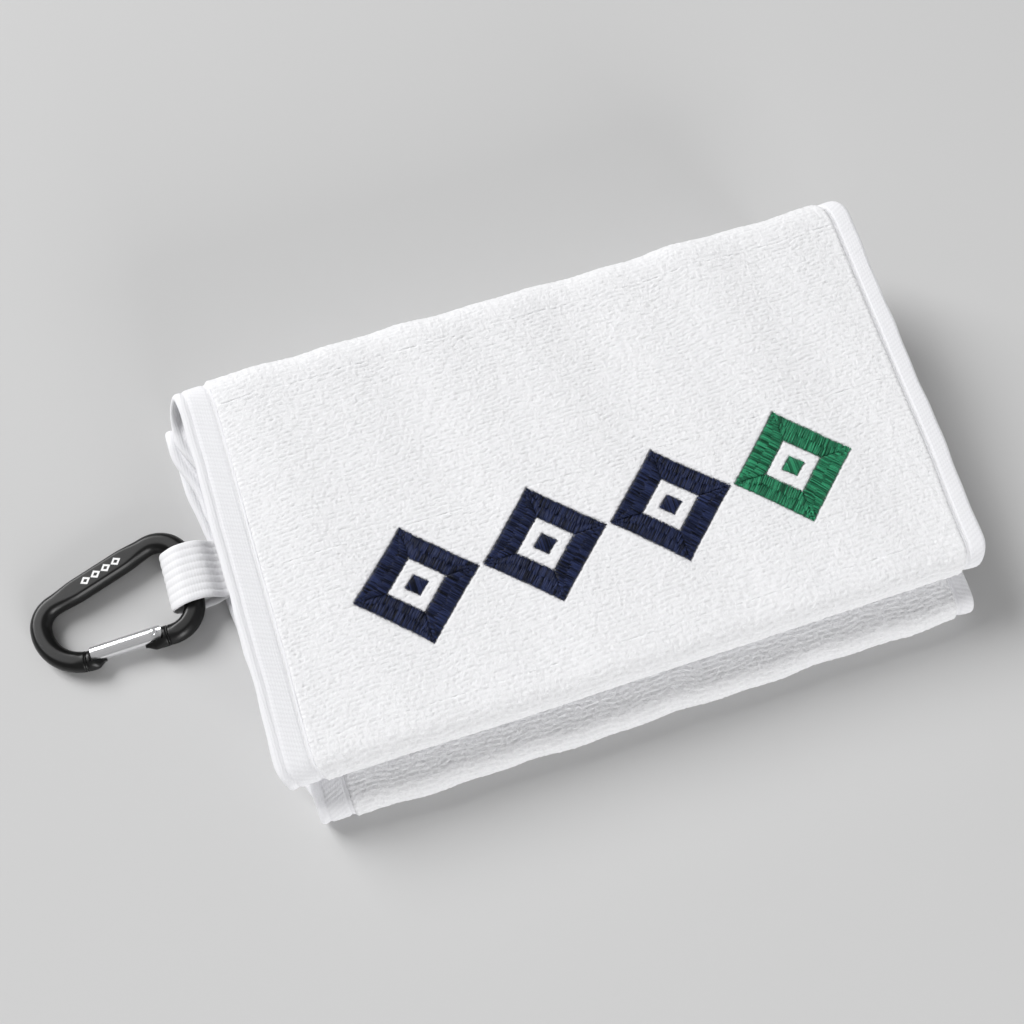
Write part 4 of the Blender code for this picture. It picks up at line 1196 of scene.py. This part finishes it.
def build_clip_frame(plane):
    """Bar of the clip: a rounded section with a flat top and bottom facet, wider along the spine, a groove
    near each end of the gate, and half its width cut away where a lip lies under the gate."""
    clip = plane.clip
    path, along, (spine_start, spine_end) = frame_path(plane)
    total = along[-1]
    hinge_cut = clip.hinge_lip
    nose_cut = total - clip.lip
    even = np.arange(0.0, total, BAR_STEP)
    grooves = [hinge_cut + 0.0013, hinge_cut + 0.0021, nose_cut - 0.0013, nose_cut - 0.0021]
    fine = np.concatenate([g + np.linspace(-0.0004, 0.0004, 9) for g in grooves])
    at = np.unique(np.concatenate([even, fine, [total], hinge_cut + np.array([-1e-6, 1e-6]),
                                   nose_cut + np.array([-1e-6, 1e-6])]))
    centre = np.stack([np.interp(at, along, path[:, k]) for k in (0, 1)], axis=-1)
    ahead = np.gradient(centre, at, axis=0)
    ahead = ahead / np.linalg.norm(ahead, axis=1)[:, None]
    side = np.stack([-ahead[:, 1], ahead[:, 0]], axis=-1)
    near_start = along[np.argmin(np.linalg.norm(path - spine_start, axis=1))]
    near_end = along[np.argmin(np.linalg.norm(path - spine_end, axis=1))]
    spine = smooth_step(at, near_start, near_start + 0.012)
    spine = spine * (1 - smooth_step(at, near_end - 0.012, near_end))
    half_width = (clip.bar_width + (clip.spine_width - clip.bar_width) * spine) / 2
    gate_end = np.minimum(np.abs(at - hinge_cut), np.abs(at - nose_cut))
    plain = 1 - smooth_step(gate_end, 0.0032, 0.0070)
    groove = sum(np.exp(-((at - g) / 0.00022) ** 2) for g in grooves)
    shrink = 1 - 0.07 * groove
    tip = np.minimum(at, total - at)
    taper = 0.55 + 0.45 * smooth_step(tip, 0.0, 0.0045)
    lip_length = np.where(at < total / 2, clip.hinge_lip, clip.lip)
    thin = 0.35 + 0.65 * smooth_step(tip / lip_length, 0.0, 1.0)
    turn = TAU * np.arange(BAR_SIDES)[None, :] / BAR_SIDES
    over = (1.11 + 0.20 * spine) * (1 - plain) + 1.02 * plain
    raw = np.sin(turn) * over[:, None]
    power = FACET_SHARPNESS
    height = raw / (1 + np.abs(raw) ** power) ** (1 / power)
    peak = over / (1 + over ** power) ** (1 / power)
    # facet marks the flats, where the material paints a grey reflection of the light overhead.
    facet = smooth_step(np.abs(height) / peak[:, None], 0.975, 0.995) * (1 - plain[:, None])
    z = clip.bar_height / 2 * height / peak[:, None] * (shrink * taper * thin)[:, None]
    wide = (half_width * shrink * taper)[:, None] * np.cos(turn)
    x = centre[:, 0:1] + side[:, 0:1] * wide
    y = centre[:, 1:2] + side[:, 1:2] * wide
    lip = (at < hinge_cut) | (at > nose_cut)
    y = np.where(lip[:, None], np.minimum(y, plane.lip_top), y)
    bar = tubes(plane.carry(x, y, z)[None])
    tang = tang_shape(plane)
    tone = np.concatenate([facet.ravel(), np.zeros(len(tang[0]))])
    make_piece("anodised_clip_bar", joined(bar, tang), "anodised", "clip",
               ["clip_frame"], tone, sharp=40)


def tang_shape(plane):
    """Tang that the gate's fork straddles: a flat tongue with a round end."""
    clip = plane.clip
    radius, half = 0.0022, 0.0011
    turn = np.linspace(math.pi / 2, 3 * math.pi / 2, 17)
    root = plane.hinge_face + 0.0015
    x = np.concatenate([[root], -clip.pivot + radius * np.cos(turn), [root]])
    y = plane.gate_y + np.concatenate([[radius], radius * np.sin(turn), [-radius]])
    inset = np.array([0.0002, 0.0, 0.0, 0.0002])[:, None]
    shrink = 1 - inset / radius
    z = np.array([-half, -half + 0.0002, half - 0.0002, half])[:, None]
    middle_x = -clip.pivot
    return tubes(plane.carry(middle_x + (x[None, :] - middle_x) * shrink,
                             plane.gate_y + (y[None, :] - plane.gate_y) * shrink, z)[None])


def build_clip_print(plane):
    """Row of small diamonds in white ink on the spine's flat."""
    clip = plane.clip
    shapes = []
    direction = np.array([math.cos(clip.spine_angle), math.sin(clip.spine_angle)])
    across = np.array([-direction[1], direction[0]])
    middle_x = -clip.reach * 0.53
    centre = np.array([middle_x, clip.spine_side + math.tan(clip.spine_angle) * middle_x])
    corners = np.array([(1.0, 0.0), (0.0, 1.0), (-1.0, 0.0), (0.0, -1.0)])
    half_long, half_wide = 0.0024, 0.0020
    for number in range(4):
        place = centre + direction * (number - 1.5) * 0.0050
        scale = np.array([1.0, 1.0, 0.45, 0.45])
        level = clip.bar_height / 2 + np.array([-0.00005, 0.00006, 0.00006, -0.00005])
        long_side = corners[:, 0:1] * scale * half_long
        wide_side = corners[:, 1:2] * scale * half_wide
        x = place[0] + direction[0] * long_side + across[0] * wide_side
        y = place[1] + direction[1] * long_side + across[1] * wide_side
        shapes.append(looped(plane.carry(x, y, level)))
    make_piece("clip_pad_print", joined(*shapes), "ink", "clip", sharp=30)


def refined_node(node, name, finish, body, bevel, sharp=35):
    """A CAD node's shape as a smooth-shaded piece with softened edges."""
    source = frame["nodes"][node]
    mesh = source.data.copy()
    work = bmesh.new()
    work.from_mesh(mesh)
    bmesh.ops.remove_doubles(work, verts=work.verts, dist=0.000005)
    if bevel:
        bmesh.ops.dissolve_limit(work, angle_limit=math.radians(2), verts=work.verts, edges=work.edges)
    work.to_mesh(mesh)
    work.free()
    mesh.name = name
    mesh.materials.clear()
    mesh.materials.append(finish_named(finish))
    mesh.shade_smooth()
    mesh.set_sharp_from_angle(angle=math.radians(sharp))
    piece = bpy.data.objects.new(name, mesh)
    bpy.context.scene.collection.objects.link(piece)
    if bevel:
        soft = piece.modifiers.new("softened_edges", "BEVEL")
        soft.width = bevel
        soft.segments = 2
        soft.limit_method = "ANGLE"
        soft.angle_limit = math.radians(sharp)
        soft.harden_normals = True
    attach(piece, body)
    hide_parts(node)


def build_gate():
    """Tubular gate, its pivot rivet, and the spring and plunger inside it."""
    refined_node("clip_gate", "drawn_tube_gate", "gate", "gate", 0.00018)
    refined_node("gate_rivet", "domed_rivet", "rivet", "clip", 0)
    refined_node("gate_spring", "return_spring", "steel", "gate", 0, 60)
    refined_node("gate_plunger", "round_nosed_plunger", "steel", "gate", 0)


# ---------------------------------------------------------------- stage

def studio_room(strength):
    """Room light that is dim near the floor and bright overhead."""
    world = bpy.data.worlds.new("studio_room")
    world.use_nodes = True
    tree = world.node_tree
    toward = add_node(tree, "ShaderNodeTexCoord").outputs["Generated"]
    up = add_node(tree, "ShaderNodeSeparateXYZ", {"Vector": toward})
    limits = {"From Min": 0.0, "From Max": 0.8, "To Min": 0.60, "To Max": 1.0}
    level = add_node(tree, "ShaderNodeMapRange", {"Value": up.outputs["Z"], **limits},
                     interpolation_type="SMOOTHSTEP")
    background = tree.nodes["Background"]
    tree.links.new(level.outputs["Result"], background.inputs["Color"])
    background.inputs["Strength"].default_value = strength
    return world


def build_stage():
    """Pale paper floor, soft lights and the camera."""
    stage = sizes().stage
    scene = bpy.context.scene
    reach = 6.0
    mesh = bpy.data.meshes.new("studio_floor")
    mesh.from_pydata([(-reach, -reach, 0.0), (reach, -reach, 0.0), (reach, reach, 0.0), (-reach, reach, 0.0)],
                     [], [(0, 1, 2, 3)])
    mesh.materials.append(finish_named("paper"))
    floor = bpy.data.objects.new("studio_floor", mesh)
    scene.collection.objects.link(floor)
    for name, place, width, power in (("key_soft_box", (-2.3, 3.0, 2.95), 2.4, stage.key_power),
                                      ("front_soft_box", (0.4, -2.2, 0.60), 1.2, stage.fill_power)):
        lamp = bpy.data.lights.new(name, "AREA")
        lamp.shape = "SQUARE"
        lamp.size = width
        lamp.energy = power
        light = bpy.data.objects.new(name, lamp)
        light.location = place
        aim = Vector((0.0, 0.0, 0.03)) - Vector(place)
        light.rotation_euler = aim.to_track_quat("-Z", "Y").to_euler()
        scene.collection.objects.link(light)
    scene.world = studio_room(stage.sky)
    lens = bpy.data.cameras.new("product_camera")
    lens.lens = stage.lens
    lens.sensor_width = 36.0
    camera = bpy.data.objects.new("product_camera", lens)
    camera.location = stage.camera
    camera.rotation_euler = (stage.tilt, 0.0, stage.turn)
    scene.collection.objects.link(camera)
    scene.camera = camera
    scene.view_settings.view_transform = "Standard"


# ---------------------------------------------------------------- operators

class GOLFTOWEL_OT_terry(bpy.types.Operator):
    """Builds the folded terry cloth: ground weave and pile."""

    bl_idname = "golf_towel.terry"
    bl_label = "Terry Cloth"

    def execute(self, context):
        build_terry(sheet())
        return {"FINISHED"}


class GOLFTOWEL_OT_hems(bpy.types.Operator):
    """Builds the ribbed side hems and the tucked end hems."""

    bl_idname = "golf_towel.hems"
    bl_label = "Hems"

    def execute(self, context):
        build_hems(sheet())
        return {"FINISHED"}


class GOLFTOWEL_OT_stitching(bpy.types.Operator):
    """Builds the lock stitches along the hems."""

    bl_idname = "golf_towel.stitching"
    bl_label = "Hem Stitching"

    def execute(self, context):
        build_stitching(sheet())
        return {"FINISHED"}


class GOLFTOWEL_OT_embroidery(bpy.types.Operator):
    """Builds the satin-stitched diamonds and the backing under them."""

    bl_idname = "golf_towel.embroidery"
    bl_label = "Embroidery"

    def execute(self, context):
        build_embroidery(sheet())
        return {"FINISHED"}


class GOLFTOWEL_OT_webbing(bpy.types.Operator):
    """Builds the webbing loop and its bar tack."""

    bl_idname = "golf_towel.webbing"
    bl_label = "Webbing Loop"

    def execute(self, context):
        build_webbing()
        return {"FINISHED"}


class GOLFTOWEL_OT_clip(bpy.types.Operator):
    """Builds the clip's anodised bar and the print on it."""

    bl_idname = "golf_towel.clip"
    bl_label = "Clip Bar"

    def execute(self, context):
        plane = ClipPlane()
        build_clip_frame(plane)
        build_clip_print(plane)
        return {"FINISHED"}


class GOLFTOWEL_OT_gate(bpy.types.Operator):
    """Builds the gate, its rivet, its spring and its plunger."""

    bl_idname = "golf_towel.gate"
    bl_label = "Gate"

    def execute(self, context):
        build_gate()
        return {"FINISHED"}


class GOLFTOWEL_OT_soft_goods(bpy.types.Operator):
    bl_idname = "golf_towel.soft_goods"
    bl_label = "Declare Sheets"

    def execute(self, context):
        objects = bpy.data.objects
        on_cloth = [o for o in objects if o.name.startswith(("terry_pile", "left_ribbed", "right_ribbed"))]
        on_cloth += [o for o in objects if o.name.endswith(("_tucked_hem", "_lock_stitches"))]
        return {"FINISHED"}


class GOLFTOWEL_OT_stage(bpy.types.Operator):
    """Builds the floor, the lights and the camera."""

    bl_idname = "golf_towel.stage"
    bl_label = "Stage"

    def execute(self, context):
        build_stage()
        return {"FINISHED"}


class GOLFTOWEL_PT_panel(bpy.types.Panel):
    """Lists the towel's pieces in the sidebar."""

    bl_idname = "GOLFTOWEL_PT_panel"
    bl_label = "Folded Golf Towel"
    bl_space_type = "VIEW_3D"
    bl_region_type = "UI"
    bl_category = "Golf Towel"

    def draw(self, context):
        for operator in OPERATORS:
            self.layout.operator(operator.bl_idname)


class TowelSettings(bpy.types.PropertyGroup):
    """Every size and colour of the towel."""

    cloth: bpy.props.PointerProperty(type=ClothSizes)
    hems: bpy.props.PointerProperty(type=HemSizes)
    embroidery: bpy.props.PointerProperty(type=EmbroiderySizes)
    webbing: bpy.props.PointerProperty(type=WebbingSizes)
    clip: bpy.props.PointerProperty(type=ClipSizes)
    stage: bpy.props.PointerProperty(type=StageSizes)
    colours: bpy.props.PointerProperty(type=FinishColours)


OPERATORS = (
    GOLFTOWEL_OT_terry,
    GOLFTOWEL_OT_hems,
    GOLFTOWEL_OT_stitching,
    GOLFTOWEL_OT_embroidery,
    GOLFTOWEL_OT_webbing,
    GOLFTOWEL_OT_clip,
    GOLFTOWEL_OT_gate,
    GOLFTOWEL_OT_soft_goods,
    GOLFTOWEL_OT_stage,
)
CLASSES = (ClothSizes, HemSizes, EmbroiderySizes, WebbingSizes, ClipSizes, StageSizes, FinishColours,
           TowelSettings) + OPERATORS + (GOLFTOWEL_PT_panel,)


def register():
    for item in CLASSES:
        bpy.utils.register_class(item)
    bpy.types.Scene.golf_towel = bpy.props.PointerProperty(type=TowelSettings)


def unregister():
    del bpy.types.Scene.golf_towel
    for item in reversed(CLASSES):
        bpy.utils.unregister_class(item)


def main():
    """Builds every piece in order."""
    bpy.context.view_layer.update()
    register()
    for item in list(bpy.data.objects):
        if item.name in ("Cube", "Light", "Camera"):
            bpy.data.objects.remove(item)
    for operator in OPERATORS:
        group, name = operator.bl_idname.split(".")
        getattr(getattr(bpy.ops, group), name)()


if __name__ == "__main__":
    main()
